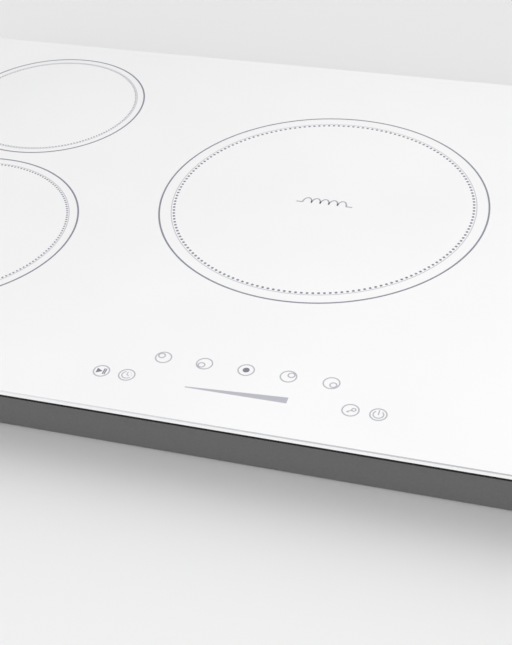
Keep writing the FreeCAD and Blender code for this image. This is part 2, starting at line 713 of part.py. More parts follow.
def cable_saddle():
    """The strap and its base that grip the mains cable inside the box."""
    base = block(GLAND_X - 11, GLAND_X + 11, *SADDLE_Y, 3, 9)
    strap = block(GLAND_X - 11, GLAND_X + 11, *SADDLE_Y, 17.2, 21.2)
    tunnel = bar_y(SADDLE_Y[0] - 1, SADDLE_Y[1] + 1, GLAND_X, GLAND_Z, GLAND_BORE_R)
    holes = [post(x, y, 2, 22, 1.4) for x, y in saddle_screw_places()]
    cutter = Part.makeCompound([tunnel] + holes)
    return [base.cut(cutter), strap.cut(cutter)]


def cable_gland():
    """The bush in the rear wall that the mains cable passes through."""
    collar = bar_y(TRAY_Y, TRAY_Y + 3, GLAND_X, GLAND_Z, 9.5)
    barrel = bar_y(TRAY_Y - 7, TRAY_Y + 1, GLAND_X, GLAND_Z, 6.95)
    flange = bar_y(TRAY_Y - 6, TRAY_Y - SHEET, GLAND_X, GLAND_Z, 9.0)
    bore = bar_y(TRAY_Y - 8, TRAY_Y + 4, GLAND_X, GLAND_Z, GLAND_BORE_R)
    return collar.multiFuse([barrel, flange]).cut(bore)


def mains_leads():
    """Wires from the terminals to the filter and from the filter to the boards."""
    wires = []
    for i in range(3):
        x = TERMINAL_XS[i + 1]
        y = 180 - 6 * i
        end = 262 - 8 * i
        points = [(x, 200, 15.2), (x, y, 15.2), (end, y, 15.2), (end, y, BOARD_TOP)]
        wires.append(wire_run(points, 1.5))
    for i in range(2):
        x = 112 + 8 * i
        z = LEAD_RUN_Z - 16
        points = [(x, 136, BOARD_TOP), (x, 136, z), (x, 104, z), (x, 104, BOARD_TOP)]
        wires.append(wire_run(points, 1.5))
        y = 146 + 8 * i
        far = y - 48
        points = [(112, y, BOARD_TOP), (112, y, LEAD_RUN_Z)]
        points += [(-110, far, LEAD_RUN_Z), (-110, far, BOARD_TOP)]
        wires.append(wire_run(points, 1.5))
    return wires


# ---------------------------------------------------------------- touch control
def control_carrier():
    """The plastic tub that holds the touch board under the glass."""
    middle = sum(CONTROL_Y) / 2
    half_y = (CONTROL_Y[1] - CONTROL_Y[0]) / 2
    top = FLANGE_TOP - SHEET - 0.3
    tub = slab(CONTROL_X, half_y, CONTROL_Z, top, 4, 0, middle)
    tub = tub.cut(slab(CONTROL_X - 2, half_y - 2, CONTROL_Z + 2, HEIGHT, 2, 0, middle))
    feet = [post(x, y, DECK_TOP, CONTROL_BOARD_Z, 3) for x in CONTROL_FOOT_XS for y in CONTROL_FOOT_YS]
    return tub.multiFuse(feet).cut(ribbon_slot(CONTROL_Z - 1, CONTROL_BOARD_Z))


def ribbon_slot(z0, z1):
    """The way for the flat cable through a plate, as a cutting body."""
    return block(RIBBON_X[0] - 2, RIBBON_X[1] + 2, RIBBON_Y[0] - 2, RIBBON_Y[0] + 3, z0, z1)


def control_board():
    """The touch circuit board, 3 mm inside the tub's walls."""
    half_x = CONTROL_X - 4
    return block(-half_x, half_x, CONTROL_Y[0] + 3, CONTROL_Y[1] - 3, CONTROL_BOARD_Z, CONTROL_BOARD_TOP)


def key_places():
    """Centre of each key, the zone keys first."""
    return [(x, ZONE_KEY_Y) for x in ZONE_KEY_XS] + [(x, SIDE_KEY_Y) for x in SIDE_KEY_XS]


def touch_pads():
    """Conductive foam pads between the touch board and the glass, for the keys and the slider."""
    pads = [post(x, y, CONTROL_BOARD_TOP, GLASS_BOTTOM, KEY_PAD_R) for x, y in key_places()]
    step = (SLIDER_X[1] - SLIDER_X[0]) / (SLIDER_SEGMENTS - 1)
    for i in range(SLIDER_SEGMENTS):
        x = SLIDER_X[0] + i * step
        pads.append(post(x, SIDE_KEY_Y - 1, CONTROL_BOARD_TOP, GLASS_BOTTOM, SLIDER_PAD_R))
    return pads


def indicator_leds():
    """A small light-emitting diode behind each key."""
    z = CONTROL_BOARD_TOP
    return [block(x - 1.6, x + 1.6, y + 7, y + 9.8, z, z + 1.9) for x, y in key_places()]


def ribbon_cable():
    """The flat cable from the touch board, under the deck, to the right power board."""
    front, rear = RIBBON_Y
    drop = block(*RIBBON_X, front, front + 1, LEAD_RUN_Z - 1, CONTROL_BOARD_Z)
    run = block(*RIBBON_X, front, rear, LEAD_RUN_Z - 1, LEAD_RUN_Z)
    end = block(*RIBBON_X, rear - 1, rear, BOARD_TOP, LEAD_RUN_Z)
    return drop.multiFuse([run, end])


# ---------------------------------------------------------------- worktop clamps
def clamp_arm(side, end):
    """A swivel arm, folded into its niche; it swings out under the worktop."""
    x = side * CLAMP_PIVOT_X
    y = end * CLAMP_PIVOT_Y
    half = CLAMP_W / 2
    tip = y - end * CLAMP_ARM
    y0, y1 = sorted((y, tip))
    arm = block(x - half, x + half, y0, y1, CLAMP_Z, CLAMP_Z + CLAMP_T)
    eye = post(x, y, CLAMP_Z, CLAMP_Z + CLAMP_T, half)
    lip_y0, lip_y1 = sorted((tip, tip + end * CLAMP_T))
    lip = block(x - half, x + half, lip_y0, lip_y1, CLAMP_Z, CLAMP_Z + CLAMP_T + CLAMP_LIP)
    rib_y0, rib_y1 = sorted((y - end * 12, tip + end * 6))
    rib = block(x - 2, x + 2, rib_y0, rib_y1, CLAMP_Z + CLAMP_T - 0.5, CLAMP_Z + CLAMP_T + 1.2)
    hole = post(x, y, CLAMP_Z - 1, CLAMP_Z + CLAMP_T + 1, CLAMP_SCREW_R + RUNNING_GAP)
    return arm.multiFuse([eye, lip, rib]).cut(hole)


def clamp_fasteners():
    """The long screw and the rivet nut that each clamp hangs on."""
    pieces = []
    for side, end in CORNERS:
        x = side * CLAMP_PIVOT_X
        y = end * CLAMP_PIVOT_Y
        head = post(x, y, CLAMP_Z - 3.2, CLAMP_Z - 0.2, 4.5)
        head = head.makeFillet(0.8, edges_at(head, CLAMP_Z - 3.2))
        shank = post(x, y, CLAMP_Z - 1, NICHE_TOP + 6, CLAMP_SCREW_R)
        groove = block(x - 2.6, x + 2.6, y - 0.5, y + 0.5, 0, CLAMP_Z - 1.4)
        cross = groove.fuse(turned(groove, 90, x, y))
        pieces.append(head.fuse(shank).cut(cross))
        pieces.append(pipe(x, y, NICHE_TOP + SHEET, NICHE_TOP + SHEET + 4, 4.5, CLAMP_SCREW_R))
    return pieces


# ---------------------------------------------------------------- write every node
def main():
    save("glass_top", glass_top())
    save("glass_seal", glass_seal())
    frame, bead = adhesive_and_frame()
    save("glass_frame", frame)
    save("adhesive_bead", bead)
    save("base_tray", base_tray())
    save("case_screws", case_screws())
    save("coil_deck", coil_deck())

    mica = []
    springs = []
    sensors = []
    leads = []
    for name, x, y, ring in ZONES:
        outer = ring - COIL_MARGIN
        save("coil_winding_" + name, coil_winding(x, y, outer))
        save("coil_carrier_" + name, coil_carrier(x, y, outer))
        save("ferrite_bars_" + name, ferrite_bars(x, y, outer))
        mica.append(pipe(x, y, COIL_TOP, MICA_TOP, outer + 2, 8))
        springs += leaf_springs(x, y, outer)
        sensors.append(temperature_sensor(x, y))
        leads += coil_leads(name, x, y)
    save("mica_discs", mica)
    save("coil_springs", springs)
    save("temperature_sensors", sensors)

    for name, side in SIDES:
        x = side * FAN_X
        save("power_board_" + name, power_board(side))
        save("heat_sink_" + name, heat_sink(side))
        save("power_transistors_" + name, power_transistors(side))
        save("board_components_" + name, board_components(side))
        save("fan_housing_" + name, fan_housing(x, FAN_Y))
        save("fan_rotor_" + name, fan_rotor(x, FAN_Y))
        save("fan_motor_" + name, fan_motor(x, FAN_Y))
    save("filter_board", filter_board())
    save("filter_components", filter_components())
    save("board_standoffs", board_standoffs())

    save("terminal_box", terminal_box())
    save("terminal_lid", terminal_lid())
    save("lid_hinge_pin", lid_hinge_pin())
    save("terminal_block", terminal_block())
    save("terminal_screws", terminal_screws())
    save("cable_saddle", cable_saddle())
    save("cable_gland", cable_gland())
    save("wiring_harness", leads + mains_leads())

    save("control_carrier", control_carrier())
    save("control_board", control_board())
    save("touch_pads", touch_pads())
    save("indicator_leds", indicator_leds())
    save("ribbon_cable", ribbon_cable())

    for end_name, end in (("front", -1), ("rear", 1)):
        for side_name, side in SIDES:
            save("clamp_" + end_name + "_" + side_name, clamp_arm(side, end))
    save("clamp_fasteners", clamp_fasteners())


main()
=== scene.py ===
import json
import math
import bmesh
import bpy
from mathutils import Matrix, Quaternion, Vector


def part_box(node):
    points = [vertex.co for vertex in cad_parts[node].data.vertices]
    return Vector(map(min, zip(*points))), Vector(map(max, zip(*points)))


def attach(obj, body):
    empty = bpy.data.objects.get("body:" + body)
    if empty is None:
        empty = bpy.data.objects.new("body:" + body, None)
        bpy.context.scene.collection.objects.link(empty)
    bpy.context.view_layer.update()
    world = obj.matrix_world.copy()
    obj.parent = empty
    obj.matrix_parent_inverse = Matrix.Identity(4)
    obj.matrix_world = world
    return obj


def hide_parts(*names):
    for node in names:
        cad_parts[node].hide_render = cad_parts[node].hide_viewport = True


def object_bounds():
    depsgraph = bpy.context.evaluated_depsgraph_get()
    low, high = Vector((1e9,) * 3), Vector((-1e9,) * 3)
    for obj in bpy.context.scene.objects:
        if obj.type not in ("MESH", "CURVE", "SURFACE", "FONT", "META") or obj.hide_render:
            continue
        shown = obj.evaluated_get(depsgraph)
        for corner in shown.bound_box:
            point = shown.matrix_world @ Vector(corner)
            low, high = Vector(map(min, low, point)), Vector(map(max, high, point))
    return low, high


# Looks for a built-in induction cooktop: white glass with grey print over a grey steel tray.
# Metres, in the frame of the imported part: +Z up, -Y is the front edge, the origin is under the middle.

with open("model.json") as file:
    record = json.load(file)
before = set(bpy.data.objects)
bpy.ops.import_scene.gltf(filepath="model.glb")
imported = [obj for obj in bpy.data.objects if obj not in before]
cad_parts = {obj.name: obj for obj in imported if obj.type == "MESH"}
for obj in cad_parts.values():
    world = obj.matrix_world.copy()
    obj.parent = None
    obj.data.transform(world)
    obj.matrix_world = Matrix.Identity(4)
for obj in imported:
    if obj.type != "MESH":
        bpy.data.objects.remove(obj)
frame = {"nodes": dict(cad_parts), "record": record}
cad_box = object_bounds()

MM = 0.001
BODY = "cooktop"
ZONE_NAMES = ("rear_left", "front_left", "centre", "rear_right", "front_right")

# ---------------------------------------------------------------- the ground facet of the glass and its painted reflection
# Of the glass, only the facet has a normal with this Z. The facet's grey is a painted reflection that
# darkens from the first X to the second.
FACET_NORMAL_Z = math.sqrt(0.5)
FACET_NORMAL_MARGIN = 0.08
FACET_REFLECTION_FADE_X = (-0.20, 0.16)

# ---------------------------------------------------------------- driving dimensions of the print
# DOTS_AT and FINE_LINE_AT are shares of a zone's ring radius. DOT_SIDE is for the centre zone, and
# DOT_CORNER is the share of a dot's side that its cut corners leave.
RING_RADIUS = dict(rear_left=0.090, front_left=0.1058, centre=0.140, rear_right=0.090, front_right=0.1058)
RING_WIDTH = 0.0015
RING_STEPS = 256
DOTS_AT = 0.910
DOTS_PER_RING = dict(rear_left=180, front_left=180, centre=177, rear_right=180, front_right=180)
DOT_SIDE = 0.00212
DOT_CORNER = 0.56
FINE_LINE_AT = 0.926
FINE_LINE_WIDTH = 0.0008
PRINT_THICKNESS = 0.00004
PRINT_SUNK = 0.00001

KEY_RADIUS = 0.00595
KEY_LINE = 0.00105
KEY_RING_STEPS = 48
KEYS_SHIFT = -0.0006
ZONE_KEY_PITCH = 0.032
ZONE_KEYS_FROM_EDGE = 0.0625
SMALL_RING_RADIUS = 0.00245
SMALL_RING_OFFSET = 0.0018
SMALL_RING_STEPS = 32
CENTRE_DOT_RADIUS = 0.0026
SIDE_KEYS_FROM_EDGE = 0.0377
SIDE_KEY_OUTER_X = 0.1037
SIDE_KEY_INNER_X = 0.0838
WEDGE_X = (-0.0385, 0.0375)
WEDGE_FROM_EDGE = 0.0343
WEDGE_HEIGHTS = (0.0010, 0.0062)

MARK_WIDTH = 0.049
MARK_HEIGHT = 0.0070
MARK_LOOPS = 5
MARK_LOOP_STEPS = 24
MARK_LOOPS_WIDTH = 0.038
MARK_LINE = 0.0013
MARK_OFFSET = (0.0017, 0.0009)

# ---------------------------------------------------------------- ink colours, sRGB 0 to 255
INK_RINGS = (138, 138, 153)
INK_SOLID = (126, 125, 140)
INK_MARK = (172, 172, 183)
INK_KEYS = (188, 188, 196)
INK_SLIDER = (189, 189, 198)
INK_FAINT = (202, 202, 210)

# ---------------------------------------------------------------- camera of the reference view
CAMERA_FROM_ZONE = Vector((0.2491, -0.9269, 0.6373))
CAMERA_AZIMUTH = -18.854
CAMERA_ELEVATION = 38.550
CAMERA_ROLL = -3.824
CAMERA_LENS = 75.06
CAMERA_SENSOR_WIDTH = 36.0

# ---------------------------------------------------------------- windings
COIL_INNER_R = 0.020
COIL_PITCH = 0.004
COIL_STEPS = 48
COIL_WIRE_HALF_WIDTH = 0.00196
COIL_WIRE_SIDES = 8
STRANDS_PER_TURN = 260.0
STRAND_SLANT = 2600.0
CHOKE_RING_R = 0.015
CHOKE_SECTION_R = 0.0055
CHOKE_WIRE_R = 0.0008
CHOKE_TURNS = 26
CHOKE_STEPS = 20
CHOKE_WIRE_SIDES = 6
CHOKE_OFF_BOARD_CENTRE = (0.075, 0.045)
FILTER_CHOKE_PITCH = 0.050

# ---------------------------------------------------------------- where the kinds of power board parts begin
# The two X are distances from the middle of the cooktop. CAN_TOP is a height above the board.
REAR_PARTS_Y = 0.010
MIDDLE_PARTS_X = 0.150
OUTER_PARTS_X = 0.237
CAN_TOP = 0.0188

# ---------------------------------------------------------------- chips and resistors
SMALL_CHIP = dict(length=0.010, width=0.006, pairs=8)
LARGE_CHIP = dict(length=0.014, width=0.010, pairs=12)
CHIP_GAP = 0.0002
CHIP_HEIGHT = 0.0016
CHIP_BEVEL = 0.0002
LEG_REACH = 0.0012
LEG_HEIGHT = 0.0009
LEG_SHARE = 0.4
LEG_BEVEL = 0.00012
RESISTOR_SIZE = (0.0020, 0.0012, 0.0007)
RESISTOR_BEVEL = 0.0001
CAP_SIZE = (0.0006, 0.0014, 0.0008)
CAP_OUT = 0.0012

# ---------------------------------------------------------------- places of the chips and resistors
# On a power board, from the board's middle: inward is towards the middle of the cooktop.
DRIVERS_INWARD = 0.052
DRIVERS = 4
FIRST_DRIVER_Y = -0.060
DRIVER_PITCH = 0.036
CONTROLLER_OUTWARD = 0.049
CONTROLLER_Y = 0.064
RESISTOR_ROWS_INWARD = (0.064, 0.070)
RESISTORS_PER_ROW = 9
FIRST_RESISTOR_Y = -0.030
RESISTOR_PITCH = 0.008
# On the touch board: the chips by X, and the resistors from the middle of their chip.
TOUCH_CHIPS_X = (-0.050, 0.0, 0.050)
TOUCH_RESISTORS_AWAY_X = 0.016
TOUCH_RESISTORS_APART_Y = 0.004

# ---------------------------------------------------------------- balance clips of the blower wheels
BLADE_TIP_INSET = 0.001
BLADE_LEAN = 28
CLIP_FROM_TIP = 0.007
CLIP_LENGTH = 0.004
CLIP_GAP = 0.0013
CLIP_SHEET = 0.0005
CLIP_BEVEL = 0.0001
CLIP_HEIGHT = 0.0036

# ---------------------------------------------------------------- tracks on the circuit boards
# PAD_REACH is a share of a cell. A ground plane lies where the noise is under GROUND_PLANE_LEVEL.
TRACK_PITCH = 0.0018
TRACK_SHARE = 0.4
TRACK_BLOCK = 0.0126
PAD_REACH = 0.11
GROUND_PLANE_LEVEL = 0.46

# ---------------------------------------------------------------- light
ROOM_LIGHT = 0.462
WINDOW_LIGHT = 1.00
WINDOW_AXIS = Vector((0.30, 0.50, 0.80)).normalized()
WINDOW_REACH = (0.55, 1.0)
FRONT_LIGHT = 0.98
FRONT_LIGHT_SPREAD = 70
FRONT_LIGHT_AIM = Vector((-0.15, 1.0, -0.32))
NEAR_POWER = 4.0
NEAR_SIZE = 1.0
NEAR_PLACE = Vector((0.3, -1.1, 1.2))
NEAR_TARGET = Vector((0.1, -0.2, 0.0))

# ---------------------------------------------------------------- floor
FLOOR_HALF_SIZE = 30.0
FLOOR_GAP = 0.0005

# ---------------------------------------------------------------- places read from the frame
GLASS_LOW, GLASS_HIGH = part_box("glass_top")
GLASS_TOP = GLASS_HIGH.z
FRONT_EDGE = GLASS_LOW.y
BOARD_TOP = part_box("power_board_right")[1].z
ZONE_KEY_Y = FRONT_EDGE + ZONE_KEYS_FROM_EDGE
SIDE_KEY_Y = FRONT_EDGE + SIDE_KEYS_FROM_EDGE
WEDGE_Y = FRONT_EDGE + WEDGE_FROM_EDGE


def centre_of(node):
    """The middle of a CAD node's box."""
    low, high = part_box(node)
    return (low + high) / 2


ZONE_CENTRE = {name: centre_of("coil_winding_" + name) for name in ZONE_NAMES}


# ---------------------------------------------------------------- mesh helpers
def piece(name, bm, material, body=BODY, smooth=False, origin=None):
    """Turn a bmesh into a piece of the object that rides on a body."""
    bmesh.ops.recalc_face_normals(bm, faces=bm.faces)
    if origin:
        bmesh.ops.translate(bm, verts=bm.verts, vec=-origin)
    mesh = bpy.data.meshes.new(name)
    bm.to_mesh(mesh)
    bm.free()
    mesh.materials.append(material)
    for face in mesh.polygons:
        face.use_smooth = smooth
    made = bpy.data.objects.new(name, mesh)
    bpy.context.scene.collection.objects.link(made)
    if origin:
        made.location = origin
    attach(made, body)
    return made


def plate(bm, outline, low, high):
    """A closed flat plate over an outline of (x, y) points."""
    below = [bm.verts.new((x, y, low)) for x, y in outline]
    above = [bm.verts.new((x, y, high)) for x, y in outline]
    bm.faces.new(above)
    bm.faces.new(list(reversed(below)))
    count = len(outline)
    for i in range(count):
        j = (i + 1) % count
        bm.faces.new((below[i], below[j], above[j], above[i]))


def band(bm, path, width, low, high, closed=False):
    """A closed flat strip of one width along a path of (x, y) points."""
    count = len(path)
    rails = []
    for i in range(count):
        before = path[(i - 1) % count] if closed or i > 0 else path[i]
        after = path[(i + 1) % count] if closed or i < count - 1 else path[i]
        along = Vector((after[0] - before[0], after[1] - before[1])).normalized()
        side = Vector((-along.y, along.x)) * (width / 2)
        x, y = path[i]
        corners = ((x + side.x, y + side.y), (x - side.x, y - side.y))
        rails.append([bm.verts.new((cx, cy, z)) for z in (low, high) for cx, cy in corners])
    for i in range(count if closed else count - 1):
        a = rails[i]
        b = rails[(i + 1) % count]
        bm.faces.new((a[2], b[2], b[3], a[3]))
        bm.faces.new((a[0], a[1], b[1], b[0]))
        bm.faces.new((a[0], b[0], b[2], a[2]))
        bm.faces.new((a[1], a[3], b[3], b[1]))
    if not closed:
        for end in (rails[0], rails[-1]):
            bm.faces.new((end[0], end[1], end[3], end[2]))


def arc(x, y, radius, start, end, steps):
    """Points on an arc, with angles in degrees counter-clockwise from +X."""
    turns = [math.radians(start + (end - start) * i / steps) for i in range(steps + 1)]
    return [(x + radius * math.cos(t), y + radius * math.sin(t)) for t in turns]


def circle(x, y, radius, steps):
    """Points round a whole circle, with none repeated."""
    return arc(x, y, radius, 0, 360, steps)[:-1]


def tube(bm, centres, sides, closed=False):
    """A round tube: each centre gives a point and the two half-axes of the section there."""
    rings = []
    for point, half_u, half_v in centres:
        turns = [2 * math.pi * i / sides for i in range(sides)]
        rings.append([bm.verts.new(point + half_u * math.cos(t) + half_v * math.sin(t)) for t in turns])
    count = len(rings)
    for i in range(count if closed else count - 1):
        a = rings[i]
        b = rings[(i + 1) % count]
        for j in range(sides):
            k = (j + 1) % sides
            bm.faces.new((a[j], a[k], b[k], b[j]))
    if not closed:
        bm.faces.new(rings[0])
        bm.faces.new(rings[-1])


# ---------------------------------------------------------------- material helpers
def linear(*srgb):
    """An sRGB colour of 0 to 255 as a linear colour with alpha."""
    parts = [c / 255 for c in srgb]
    parts = [c / 12.92 if c <= 0.04045 else ((c + 0.055) / 1.055) ** 2.4 for c in parts]
    return (*parts, 1.0)


def shaded(colour, factor, lift=0.0):
    """A linear colour made darker or lighter by a factor, with a little light added."""
    return (*(min(1.0, c * factor + lift) for c in colour[:3]), 1.0)


class Finish:
    """A node material with one Principled shader, and short ways to add detail to it."""

    def __init__(self, name, colour, roughness, metallic=0.0):
        self.material = bpy.data.materials.new(name)
        self.material.use_nodes = True
        self.tree = self.material.node_tree
        self.shader = self.tree.nodes["Principled BSDF"]
        self.put("Base Color", colour)
        self.put("Roughness", roughness)
        self.put("Metallic", metallic)
        self.place = self.tree.nodes.new("ShaderNodeTexCoord").outputs["Object"]

    def put(self, socket, value):
        """One value for the whole surface."""
        self.shader.inputs[socket].default_value = value

    def node(self, kind, **settings):
        """A new shader node."""
        made = self.tree.nodes.new("ShaderNode" + kind)
        for key, value in settings.items():
            setattr(made, key, value)
        return made

    def join(self, source, target):
        """A link from an output to an input."""
        self.tree.links.new(source, target)

    def stretched(self, stretch):
        """Object coordinates, scaled by axis."""
        mapping = self.node("Mapping")
        mapping.inputs["Scale"].default_value = stretch
        self.join(self.place, mapping.inputs["Vector"])
        return mapping.outputs["Vector"]

    def noise(self, scale, detail=3.0, stretch=None):
        """Soft cloudy noise, from 0 to 1."""
        made = self.node("TexNoise")
        made.inputs["Scale"].default_value = scale
        made.inputs["Detail"].default_value = detail
        self.join(self.stretched(stretch) if stretch else self.place, made.inputs["Vector"])
        return made.outputs["Fac"]

    def cells(self, scale, output="Distance", stretch=None, **settings):
        """A Voronoi pattern of cells."""
        made = self.node("TexVoronoi", **settings)
        made.inputs["Scale"].default_value = scale
        self.join(self.stretched(stretch) if stretch else self.place, made.inputs["Vector"])
        return made.outputs[output]

    def ranged(self, value, low, high, start=0.0, end=1.0):
        """A value from start to end, brought to run from low to high and held to that range."""
        made = self.node("MapRange")
        made.inputs["From Min"].default_value = start
        made.inputs["From Max"].default_value = end
        made.inputs["To Min"].default_value = low
        made.inputs["To Max"].default_value = high
        self.join(value, made.inputs["Value"])
        return made.outputs["Result"]

    def maths(self, operation, first, second=None):
        """The result of a maths node on one or two numbers or outputs."""
        made = self.node("Math", operation=operation)
        for socket, value in zip(made.inputs, (first, second)):
            if value is None:
                continue
            if isinstance(value, (int, float)):
                socket.default_value = value
            else:
                self.join(value, socket)
        return made.outputs["Value"]

    def blend(self, factor, first, second):
        """A colour between two colours."""
        made = self.node("Mix", data_type="RGBA")
        self.join(factor, made.inputs[0])
        for socket, colour in ((made.inputs[6], first), (made.inputs[7], second)):
            if isinstance(colour, tuple):
                socket.default_value = colour
            else:
                self.join(colour, socket)
        return made.outputs[2]

    def tint(self, factor, first, second):
        """A base colour between two colours."""
        self.join(self.blend(factor, first, second), self.shader.inputs["Base Color"])

    def wear(self, value, low, high):
        """Roughness that follows a pattern."""
        self.join(self.ranged(value, low, high), self.shader.inputs["Roughness"])

    def bump(self, height, depth):
        """Surface relief of a real depth in metres."""
        made = self.node("Bump")
        made.inputs["Distance"].default_value = depth
        made.inputs["Strength"].default_value = 1.0
        self.join(height, made.inputs["Height"])
        self.join(made.outputs["Normal"], self.shader.inputs["Normal"])


# ---------------------------------------------------------------- glass, print and rim
def white_glass():
    """Opal-white ceramic glass; the facet round its upper edge has a painted grey reflection, darkest on the
    right.
    """
    finish = Finish("white_glass", linear(247, 247, 248), roughness=0.07)
    finish.put("IOR", 1.50)
    geometry = finish.node("NewGeometry")
    split = finish.node("SeparateXYZ")
    finish.join(geometry.outputs["Normal"], split.inputs["Vector"])
    facet = finish.maths("COMPARE", split.outputs["Z"], FACET_NORMAL_Z)
    facet.node.inputs[2].default_value = FACET_NORMAL_MARGIN
    place = finish.node("SeparateXYZ")
    finish.join(finish.place, place.inputs["Vector"])
    # Painted reflection: the facet is tinted grey in its base colour, pale on the left and darker towards
    # the right.
    reflection_fade_start, reflection_fade_end = FACET_REFLECTION_FADE_X
    along = finish.ranged(place.outputs["X"], low=0.0, high=1.0, start=reflection_fade_start, end=reflection_fade_end)
    painted_facet_reflection = finish.blend(along, linear(232, 233, 235), linear(184, 185, 190))
    clouds = finish.ranged(finish.noise(scale=7.0, detail=2.0), low=0.0, high=1.0, start=0.3, end=0.7)
    body = finish.blend(clouds, linear(246, 246, 247), linear(249, 249, 249))
    finish.tint(facet, body, painted_facet_reflection)
    finish.wear(finish.noise(scale=60.0, detail=4.0), low=0.05, high=0.10)
    finish.bump(finish.noise(scale=35.0, detail=1.0), depth=0.000004)
    return finish.material


def print_ink(name, colour):
    """Fired ceramic ink: matt against the glass, with a faint grain from the screen."""
    finish = Finish(name, colour, roughness=0.35)
    grain = finish.noise(scale=2500.0, detail=2.0)
    finish.tint(grain, shaded(colour, factor=0.90), colour)
    finish.wear(grain, low=0.28, high=0.42)
    finish.bump(grain, depth=0.000004)
    return finish.material


def foam():
    """Closed-cell black foam."""
    finish = Finish("foam", linear(30, 30, 31), roughness=0.95)
    finish.put("Specular IOR Level", 0.2)
    pores = finish.cells(scale=900.0)
    finish.tint(pores, linear(18, 18, 19), linear(48, 48, 49))
    finish.bump(pores, depth=0.00025)
    return finish.material


def silicone():
    """Cured black silicone with a slight skin."""
    finish = Finish("silicone", linear(18, 18, 19), roughness=0.4)
    skin = finish.noise(scale=260.0)
    finish.wear(skin, low=0.3, high=0.5)
    finish.bump(skin, depth=0.00012)
    return finish.material


# ---------------------------------------------------------------- metals
def coated_steel():
    """Dark grey powder coat with a fine even orange peel."""
    finish = Finish("coated_steel", linear(104, 104, 104), roughness=0.5)
    peel = finish.noise(scale=1400.0, detail=2.0)
    finish.tint(finish.noise(scale=420.0, detail=3.0), linear(98, 98, 99), linear(109, 109, 109))
    finish.wear(peel, low=0.42, high=0.62)
    finish.bump(peel, depth=0.00006)
    return finish.material


def galvanised():
    """Zinc spangle on sheet steel."""
    finish = Finish("galvanised", linear(176, 180, 182), roughness=0.4, metallic=1.0)
    spangle = finish.cells(scale=140.0, output="Color")
    grey = finish.node("RGBToBW")
    finish.join(spangle, grey.inputs["Color"])
    finish.tint(grey.outputs["Val"], linear(156, 160, 163), linear(198, 201, 203))
    finish.wear(grey.outputs["Val"], low=0.28, high=0.52)
    return finish.material


def zinc_plate(name, colour):
    """Bright zinc plating with a fine tumbled grain."""
    finish = Finish(name, colour, roughness=0.3, metallic=1.0)
    grain = finish.noise(scale=1800.0, detail=4.0)
    finish.tint(finish.noise(scale=90.0), shaded(colour, factor=0.78), colour)
    finish.wear(grain, low=0.22, high=0.42)
    finish.bump(grain, depth=0.00003)
    return finish.material


def rolled_metal(name, colour, along, rough=(0.25, 0.45)):
    """Metal with straight drawing or rolling lines along one axis."""
    finish = Finish(name, colour, roughness=0.35, metallic=1.0)
    stretch = tuple(0.03 if axis == along else 1.0 for axis in "XYZ")
    lines = finish.noise(scale=1600.0, detail=3.0, stretch=stretch)
    finish.tint(lines, shaded(colour, factor=0.82), colour)
    finish.wear(lines, *rough)
    finish.bump(lines, depth=0.00002)
    return finish.material


def copper_litz():
    """Enamelled copper strands that run slantwise round each turn."""
    finish = Finish("copper_litz", linear(184, 104, 58), roughness=0.3, metallic=1.0)
    split = finish.node("SeparateXYZ")
    finish.join(finish.place, split.inputs["Vector"])
    x, y, z = (split.outputs[axis] for axis in "XYZ")
    around = finish.maths("ARCTAN2", y, x)
    x_squared = finish.maths("MULTIPLY", x, x)
    y_squared = finish.maths("MULTIPLY", y, y)
    reach = finish.maths("SQRT", finish.maths("ADD", x_squared, y_squared))
    out_and_up = finish.maths("ADD", reach, z)
    turned = finish.maths("MULTIPLY", around, STRANDS_PER_TURN)
    slant = finish.maths("ADD", turned, finish.maths("MULTIPLY", out_and_up, STRAND_SLANT))
    strands = finish.ranged(finish.maths("SINE", slant), low=0.0, high=1.0, start=-1.0, end=1.0)
    finish.tint(strands, linear(96, 46, 24), linear(206, 126, 76))
    finish.wear(finish.noise(scale=300.0), low=0.22, high=0.4)
    finish.bump(strands, depth=0.00022)
    return finish.material


# ---------------------------------------------------------------- plastics, boards and insulators
def moulded(name, colour, rough=(0.45, 0.62)):
    """Moulded plastic: fine spark texture and slight flow marks."""
    finish = Finish(name, colour, roughness=sum(rough) / 2)
    grain = finish.noise(scale=2200.0, detail=2.0)
    flow = finish.noise(scale=22.0, detail=2.0, stretch=(1.0, 0.25, 1.0))
    flow_marks = finish.ranged(flow, low=0.0, high=1.0, start=0.35, end=0.65)
    finish.tint(flow_marks, colour, shaded(colour, factor=1.18, lift=0.002))
    finish.wear(grain, *rough)
    finish.bump(grain, depth=0.00003)
    return finish.material


